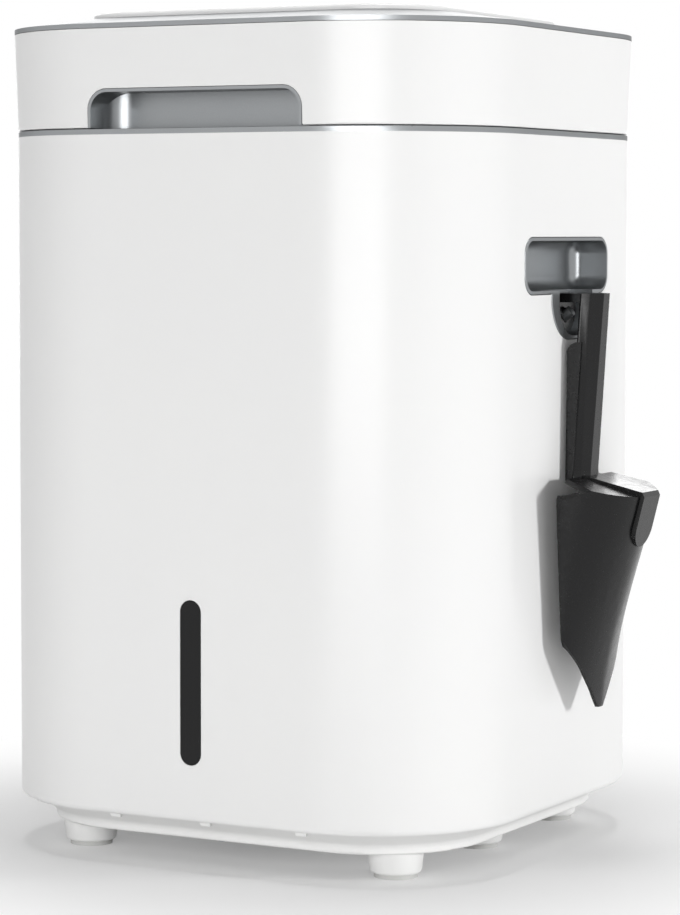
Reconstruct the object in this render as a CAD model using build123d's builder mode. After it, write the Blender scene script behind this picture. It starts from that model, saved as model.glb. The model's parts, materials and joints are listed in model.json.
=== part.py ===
from build123d import *
from math import acos, atan2, copysign, cos, degrees, hypot, pi, radians, sin, sqrt, tan
import os

# Electric food waste composter. Millimetres, +Z up. The origin is on the floor, in the
# middle of the six feet. The front faces -Y and the scoop hangs on the +X side.

# ---------------------------------------------------------------- driving dimensions

# Cabinet
cabinet_width = 306.0
cabinet_depth = 298.0
corner_radius = 84.0
body_height = 375.5
wall = 3.0
slide_fit = 0.3  # gap round a cover or bezel in its opening

# Feet and base pan
foot_count_y = 3
foot_inset_x = 54.2
foot_inset_y = 49.0
foot_height = 12.5
foot_top_radius = 15.7
foot_sole_radius = 14.2
pad_height = 2.5
pad_radius = 12.0
pan_height = 13.0
pan_inset = 7.0
pan_sole_inset = 20.0
pan_sole_height = 5.0
pan_cove = 6.0  # hollow radius where the slope meets the sole's side
pan_wall = 3.5
pan_floor = 3.0

# Lid
trim_height = 3.0
trim_width = 8.0
lid_gap = 0.5
skirt_height = 54.0
skirt_flare = 2.0
slope_width = 42.0
slope_height = 6.2
rim_height = 2.6
plate_height = 3.5
plate_rise = 2.7
plate_gap = 0.8
lid_grip_width = 135.0
lid_grip_height = 21.5
lid_grip_depth = 24.0
lid_grip_end_radius = 12.0
lid_grip_proud = 0.4
lid_open_angle = 85.0

# Side hand grips, and the lobe that holds the scoop's hook
grip_length = 110.0
grip_height = 32.0
grip_drop = 71.5  # from the cabinet's top to the grips' middle
grip_radius = 10.0
grip_depth = 22.0
grip_cove = 7.4
lobe_width = 64.0
lobe_drop = 41.5
lobe_radius = 24.0
lobe_depth = 13.0
lobe_opening_width = 44.0
lobe_opening_radius = 19.0
bezel_wall = 2.2
bezel_proud = 0.5

# Sensor window
window_width = 13.4
window_height = 91.0
window_centre_x = -2.2
window_centre_z = 105.0

# Tub and mixer
tub_end_space = 43.0  # room at each end for a bearing and the gears
tub_side_space = 41.0  # room in front of the tub and behind it
tub_wall = 2.0
tub_rise = 40.2
tub_corner = 14.0
deck_thickness = 4.0
collar_width = 6.0
collar_height = 3.0
shaft_radius = 8.0
bearing_radius = 16.0
bearing_width = 10.0
bearing_cap = 2.0
paddle_gap = 10.0
paddle_end_space = 41.0
paddle_clock = 60.0

# Gear train from the mixing motor to the mixing shaft
gear_module = 2.5
drive_teeth = 48
idler_teeth = 36
pinion_teeth = 16
gear_width = 10.0
gear_gap = 10.0
gear_backlash = 0.35
motor_shift = 3.5
motor_drop = 143.0
motor_radius = 24.0
motor_length = 54.0
gearbox_radius = 26.0
gearbox_length = 28.0

# Exhaust: filter drawer, its bay, fan and duct
drawer_width = 112.0
drawer_height = 62.0
drawer_centre_z = 77.3
drawer_depth = 78.0
drawer_corner = 4.0
bay_wall = 3.0
bay_gap = 1.5
bay_headroom = 2.0
fan_size = 60.0
fan_thickness = 15.0
fan_bore = 28.0
fan_inset = 37.0
fan_blades = 7
duct_width = 50.0
duct_gap = 3.5

# Rear cover, mains inlet and rocker switch
cover_width = 128.0
cover_foot = 8.0
cover_head = 31.5
cover_radius = 10.0
power_z = 146.0
inlet_x = -44.0
switch_x = 44.0
rocker_throw = 16.0

# Lid hinge
hinge_standoff = 11.5
hinge_radius = 11.0
hinge_half_length = 26.0
drive_radius = 9.0
pivot_radius = 3.0
pivot_clearance = 0.05
arm_inner_x = 27.5
arm_thickness = 11.0
arm_radius = 8.5

# Control panel on the top plate
panel_length = 92.0
panel_width = 26.0
panel_y = -76.0
button_radius = 6.5
button_pitch = 26.0
button_travel = 1.2

# Scoop
scoop_y = 11.5
scoop_standoff = 9.5
scoop_half_width = 44.5
scoop_height = 130.2
scoop_wall = 2.2
back_slope = 0.28  # fall of the back wall for each millimetre outward
handle_root_half = 18.5
handle_end_half = 14.2
handle_standoff = 8.6
handle_rise = 26.0  # of the hook's top over the lobe's bottom
handle_length = 102.3
strap_half = 11.0
strap_drop = 38.7
hook_half = 13.3
hook_thickness = 4.0
peg_radius = 3.0
peg_angle = 37.0  # the peg's rise above the horizontal

# ---------------------------------------------------------------- derived levels

half_width = cabinet_width / 2
half_depth = cabinet_depth / 2
pan_bottom = pad_height + foot_height
body_bottom = pan_bottom + pan_height
body_top = body_bottom + body_height
lid_bottom = body_top + trim_height + lid_gap
lid_top = lid_bottom + skirt_height
tub_top = body_top - deck_thickness
cover_bottom = body_bottom + cover_foot
cover_top = body_top - cover_head
foot_spacing_x = cabinet_width - 2 * foot_inset_x
foot_spacing_y = half_depth - foot_inset_y
grip_centre_z = body_top - grip_drop
lobe_bottom = grip_centre_z - lobe_drop
lobe_opening_bottom = lobe_bottom + bezel_wall

# the bay, with the fan on its roof, lies behind the tub's round underside, which has to
# rise by half of what its radius grows to stay clear of them
bay_inner_height = drawer_height + bay_headroom
bay_bottom = drawer_centre_z - bay_inner_height / 2
bay_top = bay_bottom + bay_inner_height + bay_wall
fan_bottom = bay_top
fan_top = fan_bottom + fan_thickness
fan_y = half_depth - fan_inset
tub_length = cabinet_width - 2 * wall - 2 * tub_end_space
tub_radius = half_depth - wall - tub_side_space
tub_axis_z = bay_top + tub_rise + tub_radius / 2
paddle_reach = tub_radius - paddle_gap
gear_inner_x = -(tub_length / 2 + tub_wall + bearing_width + bearing_cap + gear_gap)
motor_y = -(half_depth / 2 + motor_shift)
motor_z = tub_axis_z - motor_drop

hinge_y = half_depth + hinge_standoff
scoop_rim_x = half_width + scoop_standoff
handle_end_x = half_width + handle_standoff
handle_top = lobe_bottom + handle_rise
scoop_top = handle_top - handle_length
scoop_tip = scoop_top - scoop_height
strap_bottom = scoop_top - strap_drop


def side_plane(x):
    """A plane facing +X: its own x runs along +Y and its own y along +Z."""
    return Plane.YZ.offset(x)


def front_plane(y):
    """A plane facing -Y: its own x runs along +X and its own y along +Z."""
    return Plane.XZ.offset(-y)


def cabinet_outline(inset):
    """The cabinet's rounded plan outline, moved in by inset."""
    RectangleRounded(
        cabinet_width - 2 * inset, cabinet_depth - 2 * inset, corner_radius - inset
    )


# ---------------------------------------------------------------- feet and base pan

with BuildPart() as foot_pads:
    with BuildSketch():
        with GridLocations(foot_spacing_x, foot_spacing_y, 2, foot_count_y):
            Circle(pad_radius)
    extrude(amount=pad_height)

with BuildPart() as feet:
    with BuildSketch(Plane.XY.offset(pad_height)):
        with GridLocations(foot_spacing_x, foot_spacing_y, 2, foot_count_y):
            Circle(foot_sole_radius)
    extrude(
        amount=foot_height,
        taper=-degrees(atan2(foot_top_radius - foot_sole_radius, foot_height)),
    )
    fillet(feet.edges().group_by(Axis.Z)[0], 2.0)

main_board_centre = (-half_width + 61, 25)
main_board_size = (52, 96)
supply_centre = (half_width - 91, -half_depth + 57)
supply_size = (66, 48)
board_bosses = [(-20, -41), (-20, 41), (20, -41), (20, 41)]
supply_bosses = [(-24, -20), (-24, 16), (26, 16)]
boss_spots = [
    (centre[0] + x, centre[1] + y)
    for centre, bosses in ((main_board_centre, board_bosses), (supply_centre, supply_bosses))
    for x, y in bosses
]
boss_radius = 4.0
boss_height = 7.0
board_level = pan_bottom + pan_floor + boss_height
pan_screw_inset = 31.0
pan_screw_x = half_width - pan_screw_inset
pan_screw_y = half_depth - pan_screw_inset
pan_screw_spots = [(-pan_screw_x, 0), (pan_screw_x, 0), (0, -pan_screw_y), (0, pan_screw_y)]
screw_post_radius = 3.6
flange_height = 5.0
flange_width = 12.0
screw_tab_width = 12.0
screw_tab_length = 27.0
slot_bank = (-14, -55)
slot_pitch = 9.0
slot_count = 7
slot_length = 64.0
slot_width = 4.0
screw_head_radius = 3.5
screw_radius = 1.6
screw_gap = 0.2
thread_gap = 0.02
screw_head_height = 1.8

with BuildPart() as base_pan:
    slope_start = pan_bottom + pan_sole_height
    with BuildSketch(Plane.XY.offset(pan_bottom)):
        cabinet_outline(pan_sole_inset)
    extrude(amount=pan_sole_height)
    fillet(base_pan.edges().group_by(Axis.Z)[0], 1.5)
    with BuildSketch(Plane.XY.offset(slope_start)):
        cabinet_outline(pan_sole_inset)
    with BuildSketch(Plane.XY.offset(body_bottom)):
        cabinet_outline(pan_inset)
    loft()
    fillet(base_pan.edges().filter_by_position(Axis.Z, slope_start - 0.1, slope_start + 0.1), pan_cove)
    with BuildSketch(Plane.XY.offset(pan_bottom + pan_floor)):
        cabinet_outline(pan_sole_inset + pan_wall)
    extrude(amount=pan_sole_height - pan_floor, mode=Mode.SUBTRACT)
    with BuildSketch(Plane.XY.offset(slope_start)):
        cabinet_outline(pan_sole_inset + pan_wall)
    with BuildSketch(Plane.XY.offset(body_bottom)):
        cabinet_outline(pan_inset + pan_wall)
    loft(mode=Mode.SUBTRACT)
    with BuildSketch(Plane.XY.offset(pan_bottom + pan_floor)):
        with Locations(*boss_spots):
            Circle(boss_radius)
    extrude(amount=boss_height)
    # posts that the pan screws pass through, up to the cabinet's flange
    with BuildSketch(Plane.XY.offset(pan_bottom + pan_floor)):
        with Locations(*pan_screw_spots):
            Circle(screw_post_radius)
    extrude(amount=pan_height - pan_floor)
    # cooling slots in the floor
    with BuildSketch(Plane.XY.offset(pan_bottom)):
        with Locations(slot_bank):
            with GridLocations(0, slot_pitch, 1, slot_count):
                SlotOverall(slot_length, slot_width)
    extrude(amount=pan_floor, mode=Mode.SUBTRACT)
    # screw holes
    with Locations(Plane.XY.offset(pan_bottom)):
        with Locations(*pan_screw_spots):
            Cylinder(
                screw_radius + screw_gap,
                pan_height,
                align=(Align.CENTER, Align.CENTER, Align.MIN),
                mode=Mode.SUBTRACT,
            )

with BuildPart() as pan_screws:
    with BuildSketch(Plane.XY.offset(pan_bottom)):
        with Locations(*pan_screw_spots):
            Circle(screw_head_radius)
    extrude(amount=-screw_head_height)
    chamfer(pan_screws.edges().group_by(Axis.Z)[0], 0.6)
    with BuildSketch(Plane.XY.offset(pan_bottom)):
        with Locations(*pan_screw_spots):
            Circle(screw_radius)
    extrude(amount=pan_height + flange_height)

# ---------------------------------------------------------------- cabinet wrap

ledge_width = 6.0
ledge_depth = 3.0
cover_mid_z = (cover_bottom + cover_top) / 2
cover_height = cover_top - cover_bottom


def grip_outline(inset):
    """A hand grip's outline on a side plane."""
    with Locations((0, grip_centre_z)):
        RectangleRounded(
            grip_length - 2 * inset, grip_height - 2 * inset, grip_radius - inset
        )


def lobe_outline(width, bottom, radius):
    """The lobe that hangs below the right grip, which covers its top end."""
    height = grip_centre_z + grip_height / 4 - bottom
    with Locations((scoop_y, bottom + height / 2)):
        RectangleRounded(width, height, radius)


with BuildPart() as body_shell:
    with BuildSketch(Plane.XY.offset(body_bottom)):
        cabinet_outline(0)
    extrude(amount=body_height)
    fillet(body_shell.edges().group_by(Axis.Z)[0], 4.0)
    with BuildSketch(Plane.XY.offset(body_bottom + flange_height)):
        cabinet_outline(wall)
    extrude(amount=body_height, mode=Mode.SUBTRACT)
    with BuildSketch(Plane.XY.offset(body_bottom)):
        cabinet_outline(flange_width)
    extrude(amount=flange_height, mode=Mode.SUBTRACT)
    # tabs on the flange that the pan screws hold
    with BuildSketch(Plane.XY.offset(body_bottom)):
        for x, y in pan_screw_spots:
            reach = screw_tab_length / 2 - screw_tab_width / 2
            outward = (copysign(reach, x), 0) if x else (0, copysign(reach, y))
            with Locations((x + outward[0], y + outward[1])):
                if x:
                    Rectangle(screw_tab_length, screw_tab_width)
                else:
                    Rectangle(screw_tab_width, screw_tab_length)
        with Locations(*pan_screw_spots):
            Circle(screw_radius + thread_gap, mode=Mode.SUBTRACT)
    extrude(amount=flange_height)
    # ledge behind the rear cover
    with BuildSketch(front_plane(half_depth - wall)):
        with Locations((0, cover_mid_z)):
            Rectangle(cover_width + 2 * ledge_width, cover_height + 2 * ledge_width)
    extrude(amount=ledge_depth)
    with BuildSketch(front_plane(half_depth - wall)):
        with Locations((0, cover_mid_z)):
            Rectangle(cover_width - 2 * ledge_width, cover_height - 2 * ledge_width)
    extrude(amount=ledge_depth, mode=Mode.SUBTRACT)
    with BuildSketch(front_plane(half_depth)):
        with Locations((0, cover_mid_z)):
            RectangleRounded(cover_width, cover_height, cover_radius)
    extrude(amount=wall, mode=Mode.SUBTRACT)
    # sensor window
    with BuildSketch(front_plane(-half_depth)):
        with Locations((window_centre_x, window_centre_z)):
            SlotOverall(window_height, window_width, rotation=90)
    extrude(amount=-wall, mode=Mode.SUBTRACT)
    # hand grips
    with BuildSketch(side_plane(half_width)):
        grip_outline(0)
        lobe_outline(lobe_width, lobe_bottom, lobe_radius)
    extrude(amount=-wall, mode=Mode.SUBTRACT)
    with BuildSketch(side_plane(-half_width)):
        grip_outline(0)
    extrude(amount=wall, mode=Mode.SUBTRACT)

# ---------------------------------------------------------------- rear cover

louvre_pitch = 8.0
louvre_count = 10
louvre_length = 84.0
louvre_height = 3.0
louvre_drop = 102.0
louvre_centre_z = cover_top - louvre_drop
cover_screw_inset = 9.0
cover_screw_rise = 84.0
cover_face = half_depth - wall
drawer_opening_width = drawer_width + 2 * slide_fit
drawer_opening_height = drawer_height + 2 * slide_fit
inlet_width = 26.0
inlet_height = 18.0
switch_width = 14.0
switch_height = 21.0
cover_screw_spots = [
    (sx * (cover_width / 2 - cover_screw_inset), z)
    for sx in (-1, 1)
    for z in (cover_bottom + cover_screw_rise, cover_top - cover_screw_inset)
]

with BuildPart() as rear_cover:
    with BuildSketch(front_plane(half_depth)):
        with Locations((0, cover_mid_z)):
            RectangleRounded(
                cover_width - 2 * slide_fit,
                cover_height - 2 * slide_fit,
                cover_radius - slide_fit,
            )
    extrude(amount=wall)
    with BuildSketch(front_plane(half_depth)):
        with Locations((0, drawer_centre_z)):
            RectangleRounded(drawer_opening_width, drawer_opening_height, drawer_corner)
        with Locations((0, louvre_centre_z)):
            with GridLocations(0, louvre_pitch, 1, louvre_count):
                SlotOverall(louvre_length, louvre_height)
        with Locations((inlet_x, power_z)):
            RectangleRounded(inlet_width + 2 * slide_fit, inlet_height + 2 * slide_fit, 3)
        with Locations((switch_x, power_z)):
            RectangleRounded(switch_width + 2 * slide_fit, switch_height + 2 * slide_fit, 1)
        with Locations(*cover_screw_spots):
            Circle(screw_radius + screw_gap)
    extrude(amount=wall, mode=Mode.SUBTRACT)

with BuildPart() as cover_screws:
    with BuildSketch(front_plane(half_depth)):
        with Locations(*cover_screw_spots):
            Circle(screw_head_radius)
    extrude(amount=-screw_head_height)
    chamfer(cover_screws.edges().group_by(Axis.Y)[-1], 0.6)
    with BuildSketch(front_plane(half_depth)):
        with Locations(*cover_screw_spots):
            Circle(screw_radius)
    extrude(amount=wall)

# ---------------------------------------------------------------- silver strip and deck

with BuildPart() as seam_trim:
    with BuildSketch(Plane.XY.offset(body_top)):
        cabinet_outline(0)
        RectangleRounded(
            cabinet_width - 2 * trim_width,
            cabinet_depth - 2 * trim_width,
            corner_radius - trim_width,
            mode=Mode.SUBTRACT,
        )
    extrude(amount=trim_height)
    fillet(seam_trim.edges().group_by(Axis.Z)[-1], 0.5)

mouth_length = tub_length
mouth_width = 2 * tub_radius

with BuildPart() as top_deck:
    with BuildSketch(Plane.XY.offset(tub_top)):
        cabinet_outline(wall + slide_fit)
    extrude(amount=deck_thickness)
    with BuildSketch(Plane.XY.offset(body_top)):
        RectangleRounded(
            mouth_length + 2 * collar_width,
            mouth_width + 2 * collar_width,
            tub_corner + collar_width,
        )
    extrude(amount=collar_height)
    fillet(top_deck.edges().group_by(Axis.Z)[-1], 1.2)
    with BuildSketch(Plane.XY.offset(tub_top)):
        RectangleRounded(mouth_length, mouth_width, tub_corner)
    extrude(amount=deck_thickness + collar_height, mode=Mode.SUBTRACT)

# ---------------------------------------------------------------- sensor window and board

window_flange = 2.5
window_flange_thickness = 1.2
sensor_board_thickness = 1.6
sensor_gap = 8.0

with BuildPart() as sensor_window:
    with BuildSketch(front_plane(-half_depth)):
        with Locations((window_centre_x, window_centre_z)):
            SlotOverall(
                window_height - 2 * slide_fit, window_width - 2 * slide_fit, rotation=90
            )
    extrude(amount=-wall)
    with BuildSketch(front_plane(-half_depth + wall)):
        with Locations((window_centre_x, window_centre_z)):
            SlotOverall(
                window_height + 2 * window_flange,
                window_width + 2 * window_flange,
                rotation=90,
            )
    extrude(amount=-window_flange_thickness)
    # standoffs that carry the sensor board
    with BuildSketch(front_plane(-half_depth + wall + window_flange_thickness)):
        with Locations((window_centre_x, window_centre_z)):
            with GridLocations(0, window_height - 12, 1, 2):
                Circle(2.5)
    extrude(amount=-sensor_gap)

sensor_board_y = -half_depth + wall + window_flange_thickness + sensor_gap
with BuildPart() as sensor_board:
    with BuildSketch(front_plane(sensor_board_y)):
        with Locations((window_centre_x, window_centre_z)):
            Rectangle(18, window_height)
    extrude(amount=-sensor_board_thickness)
    # two sensor eyes that look out through the window
    with BuildSketch(front_plane(sensor_board_y)):
        with Locations((window_centre_x, window_centre_z)):
            with GridLocations(0, 24, 1, 2):
                Circle(3.5)
    extrude(amount=5)

# ---------------------------------------------------------------- hand grips


peg_direction = Vector(cos(radians(peg_angle)), 0, sin(radians(peg_angle)))
peg_root = Vector(half_width - lobe_depth - 1, scoop_y, lobe_bottom + 7.5)
peg_length = 14.5

with BuildPart() as grip_right:
    bezel_face = side_plane(half_width + bezel_proud)
    with BuildSketch(bezel_face):
        lobe_outline(
            lobe_width - 2 * slide_fit, lobe_bottom + slide_fit, lobe_radius - slide_fit
        )
    extrude(amount=-(lobe_depth + bezel_wall + bezel_proud))
    with BuildSketch(bezel_face):
        grip_outline(slide_fit)
    extrude(amount=-(grip_depth + bezel_wall + bezel_proud))
    fillet(grip_right.faces().sort_by(Axis.X)[-1].edges(), 0.6)
    with BuildSketch(bezel_face):
        lobe_outline(lobe_opening_width, lobe_opening_bottom, lobe_opening_radius)
    extrude(amount=-(lobe_depth + bezel_proud), mode=Mode.SUBTRACT)
    with BuildSketch(bezel_face):
        grip_outline(bezel_wall)
    extrude(amount=-(grip_depth + bezel_proud), mode=Mode.SUBTRACT)
    back = grip_right.faces().filter_by(Axis.X).sort_by(Axis.X)[1]
    fillet(back.edges(), grip_cove)
    # sloping peg that the scoop hooks over
    with BuildSketch(Plane(origin=peg_root, x_dir=(0, 1, 0), z_dir=peg_direction)):
        Circle(peg_radius)
    extrude(amount=peg_length)

with BuildPart() as grip_left:
    bezel_face = side_plane(-half_width - bezel_proud)
    with BuildSketch(bezel_face):
        grip_outline(slide_fit)
    extrude(amount=grip_depth + bezel_wall + bezel_proud)
    fillet(grip_left.faces().sort_by(Axis.X)[0].edges(), 0.6)
    with BuildSketch(bezel_face):
        grip_outline(bezel_wall)
    extrude(amount=grip_depth + bezel_proud, mode=Mode.SUBTRACT)
    back = grip_left.faces().filter_by(Axis.X).sort_by(Axis.X)[-2]
    fillet(back.edges(), grip_cove)

# ---------------------------------------------------------------- tub and heater

flange_thickness = 3.5
tub_flange = 13.0
seal_bore = 17.0
port_width = 36.0
port_height = 14.0
port_drop = 59.5
port_z = tub_top - port_drop
heater_thickness = 1.5
heater_glue = 0.3
heater_end_space = 23.0
heater_half_length = tub_length / 2 - heater_end_space
heater_top_z = fan_top + 1.7  # the pad wraps the trough's underside, and ends under the duct


def trough_outline(radius, top):
    """A U-shaped trough outline on a side plane, round about the mixing shaft's axis."""
    with Locations((0, tub_axis_z)):
        Circle(radius)
    with Locations((0, (tub_axis_z + top) / 2)):
        Rectangle(2 * radius, top - tub_axis_z)


outer_half = tub_length / 2 + tub_wall

with BuildPart() as tub_block:
    with BuildSketch(side_plane(-outer_half)):
        trough_outline(tub_radius + tub_wall, tub_top)
    extrude(amount=2 * outer_half)
    end_faces = tub_block.faces().filter_by(Axis.X)
    fillet(
        end_faces.edges().filter_by_position(Axis.Z, 0, tub_top - 1), tub_corner + tub_wall
    )
    with BuildSketch(Plane.XY.offset(tub_top - flange_thickness)):
        RectangleRounded(
            tub_length + 2 * tub_flange, 2 * tub_radius + 2 * tub_flange, 24
        )
    extrude(amount=flange_thickness)

with BuildPart() as tub_cavity:
    with BuildSketch(side_plane(-tub_length / 2)):
        trough_outline(tub_radius, tub_top + 4 * tub_corner)
    extrude(amount=tub_length)
    fillet(tub_cavity.faces().filter_by(Axis.X).edges(), tub_corner)

with BuildPart() as tub:
    add(tub_block.part)
    add(tub_cavity.part, mode=Mode.SUBTRACT)
    with BuildSketch(side_plane(-outer_half)):
        with Locations((0, tub_axis_z)):
            Circle(seal_bore)
    extrude(amount=2 * outer_half, mode=Mode.SUBTRACT)
    with BuildSketch(front_plane(tub_radius + tub_wall)):
        with Locations((0, port_z)):
            RectangleRounded(port_width, port_height, 3)
    extrude(amount=tub_wall, mode=Mode.SUBTRACT)

with BuildPart() as heater_pad:
    heater_inner = tub_radius + tub_wall + heater_glue
    with BuildSketch(side_plane(-heater_half_length)):
        with Locations((0, tub_axis_z)):
            Circle(heater_inner + heater_thickness)
            Circle(heater_inner, mode=Mode.SUBTRACT)
        with Locations((0, heater_top_z + tub_radius)):
            Rectangle(3 * tub_radius, 2 * tub_radius, mode=Mode.SUBTRACT)
    extrude(amount=2 * heater_half_length)

# ---------------------------------------------------------------- shaft supports

housing_radius = 30.0
housing_lip = 3.0
tub_end = outer_half
supports = {}
for side_name, side in (("left", -1), ("right", 1)):
    # flanged cup that carries the bearing outside the tub's end wall
    with BuildPart() as housing:
        with BuildSketch(side_plane(side * tub_end)):
            with Locations((0, tub_axis_z)):
                Circle(housing_radius)
        extrude(amount=side * housing_lip)
        with BuildSketch(side_plane(side * tub_end)):
            with Locations((0, tub_axis_z)):
                Circle(bearing_radius + 4)
        extrude(amount=side * (bearing_width + bearing_cap))
        with BuildSketch(side_plane(side * tub_end)):
            with Locations((0, tub_axis_z)):
                Circle(bearing_radius + 0.03)
        extrude(amount=side * bearing_width, mode=Mode.SUBTRACT)
        with BuildSketch(side_plane(side * tub_end)):
            with Locations((0, tub_axis_z)):
                Circle(shaft_radius + 2)
        extrude(amount=side * (bearing_width + bearing_cap), mode=Mode.SUBTRACT)
    supports["bearing_housing_" + side_name] = housing
    # plain bearing bush
    with BuildPart() as bearing:
        with BuildSketch(side_plane(side * tub_end)):
            with Locations((0, tub_axis_z)):
                Circle(bearing_radius)
                Circle(shaft_radius + 0.05, mode=Mode.SUBTRACT)
        extrude(amount=side * bearing_width)
        fillet(bearing.faces().sort_by(Axis.X)[0].edges(), 0.4)
    supports["bearing_" + side_name] = bearing
    # lip seal in the tub wall's bore
    with BuildPart() as seal:
        with BuildSketch(side_plane(side * tub_end)):
            with Locations((0, tub_axis_z)):
                Circle(seal_bore - 0.05)
                Circle(shaft_radius + 0.3, mode=Mode.SUBTRACT)
        extrude(amount=-side * (tub_wall + 1))
    supports["shaft_seal_" + side_name] = seal

# ---------------------------------------------------------------- mixing shaft and paddles

shaft_left = gear_inner_x - gear_width - 2
shaft_right = tub_end + bearing_width + 1
hub_radius = 14.0
hub_length = 26.0
hub_fit = 0.03
arm_bar_radius = 5.5
blade_length = 56.0
blade_thickness = 6.0
blade_height = 27.0
blade_twist = 24.0
paddle_pitch = tub_length / 2 - paddle_end_space

with BuildPart() as mixing_shaft:
    with BuildSketch(side_plane(shaft_left)):
        with Locations((0, tub_axis_z)):
            Circle(shaft_radius)
    extrude(amount=shaft_right - shaft_left)
    chamfer(mixing_shaft.faces().filter_by(Axis.X).edges(), 0.8)

paddles = {}
for index, paddle_name in enumerate(("paddle_left", "paddle_centre", "paddle_right")):
    paddle_x = (index - 1) * paddle_pitch
    with BuildPart() as paddle:
        with BuildSketch(side_plane(paddle_x - hub_length / 2)):
            with Locations((0, tub_axis_z)):
                Circle(hub_radius)
        extrude(amount=hub_length)
        for half_turn in (0, 180):
            angle = radians(90 + index * paddle_clock + half_turn)
            outward = Vector(0, cos(angle), sin(angle))
            arm_plane = Plane(
                origin=(paddle_x, 0, tub_axis_z), x_dir=(1, 0, 0), z_dir=outward
            )
            with BuildSketch(arm_plane):
                Circle(arm_bar_radius)
            extrude(amount=paddle_reach - 3)
            with BuildSketch(arm_plane.offset(paddle_reach - blade_height)):
                Rectangle(blade_length, blade_thickness, rotation=blade_twist)
            extrude(amount=blade_height)
        with BuildSketch(side_plane(paddle_x - hub_length / 2)):
            with Locations((0, tub_axis_z)):
                Circle(shaft_radius + hub_fit)
        extrude(amount=hub_length, mode=Mode.SUBTRACT)
    paddles[paddle_name] = paddle

# ---------------------------------------------------------------- gears

pressure_angle = radians(20)
flank_steps = 4


def involute(angle):
    return tan(angle) - angle


def gear_sketch(teeth, turn):
    """A spur gear's outline about the origin, one tooth centred at turn degrees."""
    pitch = gear_module * teeth / 2
    base = pitch * cos(pressure_angle)
    tip = pitch + 0.95 * gear_module
    root = pitch - 1.25 * gear_module
    half_tooth = pi / (2 * teeth) - gear_backlash / (2 * pitch)
    start = max(base, root)
    radii = [start + (tip - start) * i / flank_steps for i in range(flank_steps + 1)]
    flank = [
        (r, half_tooth + involute(pressure_angle) - involute(acos(base / r))) for r in radii
    ]
    if base > root:
        flank.insert(0, (root, flank[0][1]))
    points = []
    for tooth in range(teeth):
        middle = radians(turn) + 2 * pi * tooth / teeth
        for r, spread in flank:
            points.append((r * cos(middle - spread), r * sin(middle - spread)))
        for r, spread in reversed(flank):
            points.append((r * cos(middle + spread), r * sin(middle + spread)))
    with BuildSketch() as gear:
        with BuildLine():
            Polyline(*points, close=True)
        make_face()
    return gear.sketch


def meshed_turn(direction, turn, teeth, next_teeth):
    """The turn of the next gear, which lies at direction from this one, so they mesh."""
    phase = (direction - turn) * teeth
    return direction + 180 - (180 - phase) / next_teeth


def pitch_radius(teeth):
    return gear_module * teeth / 2


# the idler sits where both pairs are at their proper centre distance
drive_to_idler = pitch_radius(drive_teeth) + pitch_radius(idler_teeth)
idler_to_pinion = pitch_radius(idler_teeth) + pitch_radius(pinion_teeth)
drive_to_motor = hypot(motor_y, motor_z - tub_axis_z)
motor_direction = degrees(atan2(motor_z - tub_axis_z, motor_y))
idler_offset = degrees(
    acos(
        (drive_to_idler**2 + drive_to_motor**2 - idler_to_pinion**2)
        / (2 * drive_to_idler * drive_to_motor)
    )
)
idler_direction = motor_direction + idler_offset
idler_y = drive_to_idler * cos(radians(idler_direction))
idler_z = tub_axis_z + drive_to_idler * sin(radians(idler_direction))
pinion_direction = degrees(atan2(motor_z - idler_z, motor_y - idler_y))
idler_turn = meshed_turn(idler_direction, 0, drive_teeth, idler_teeth)
pinion_turn = meshed_turn(pinion_direction, idler_turn, idler_teeth, pinion_teeth)


def gear_plane(y, z):
    """The gears' inner face plane, centred on an axis at y, z."""
    return Plane(origin=(gear_inner_x, y, z), x_dir=(0, 1, 0), z_dir=(1, 0, 0))


axle_radius = 5.0
output_radius = 5.0
lightening_radius = 13.0

with BuildPart() as drive_gear:
    with BuildSketch(gear_plane(0, tub_axis_z)):
        add(gear_sketch(drive_teeth, 0))
        Circle(shaft_radius + hub_fit, mode=Mode.SUBTRACT)
        with PolarLocations(34, 5):
            Circle(lightening_radius, mode=Mode.SUBTRACT)
    extrude(amount=-gear_width)

with BuildPart() as idler_gear:
    with BuildSketch(gear_plane(idler_y, idler_z)):
        add(gear_sketch(idler_teeth, idler_turn))
        Circle(axle_radius + 0.05, mode=Mode.SUBTRACT)
    extrude(amount=-gear_width)

with BuildPart() as motor_pinion:
    with BuildSketch(gear_plane(motor_y, motor_z)):
        add(gear_sketch(pinion_teeth, pinion_turn))
    extrude(amount=-gear_width)
    with BuildSketch(side_plane(gear_inner_x)):
        with Locations((motor_y, motor_z)):
            Circle(output_radius)
    extrude(amount=10)

plate_thickness = 3.0
plate_x = gear_inner_x + 4
plate_foot = 14.0
foot_y = motor_y + 16.0
foot_width = 34.0

with BuildPart() as gear_plate:
    with BuildSketch(side_plane(plate_x)):
        with Locations((motor_y, motor_z)):
            Circle(gearbox_radius + 4)
        with Locations((idler_y, idler_z)):
            Circle(axle_radius + 7)
        make_hull()
        with Locations((foot_y, (motor_z + pan_bottom + pan_floor) / 2)):
            Rectangle(foot_width, motor_z - pan_bottom - pan_floor)
        with Locations((motor_y, motor_z)):
            Circle(output_radius + 1.5, mode=Mode.SUBTRACT)
        with Locations((idler_y, idler_z)):
            Circle(axle_radius + 0.02, mode=Mode.SUBTRACT)
    extrude(amount=plate_thickness)
    with BuildSketch(side_plane(plate_x)):
        with Locations((foot_y, pan_bottom + pan_floor + plate_thickness / 2)):
            Rectangle(foot_width, plate_thickness)
    extrude(amount=plate_foot)

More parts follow.
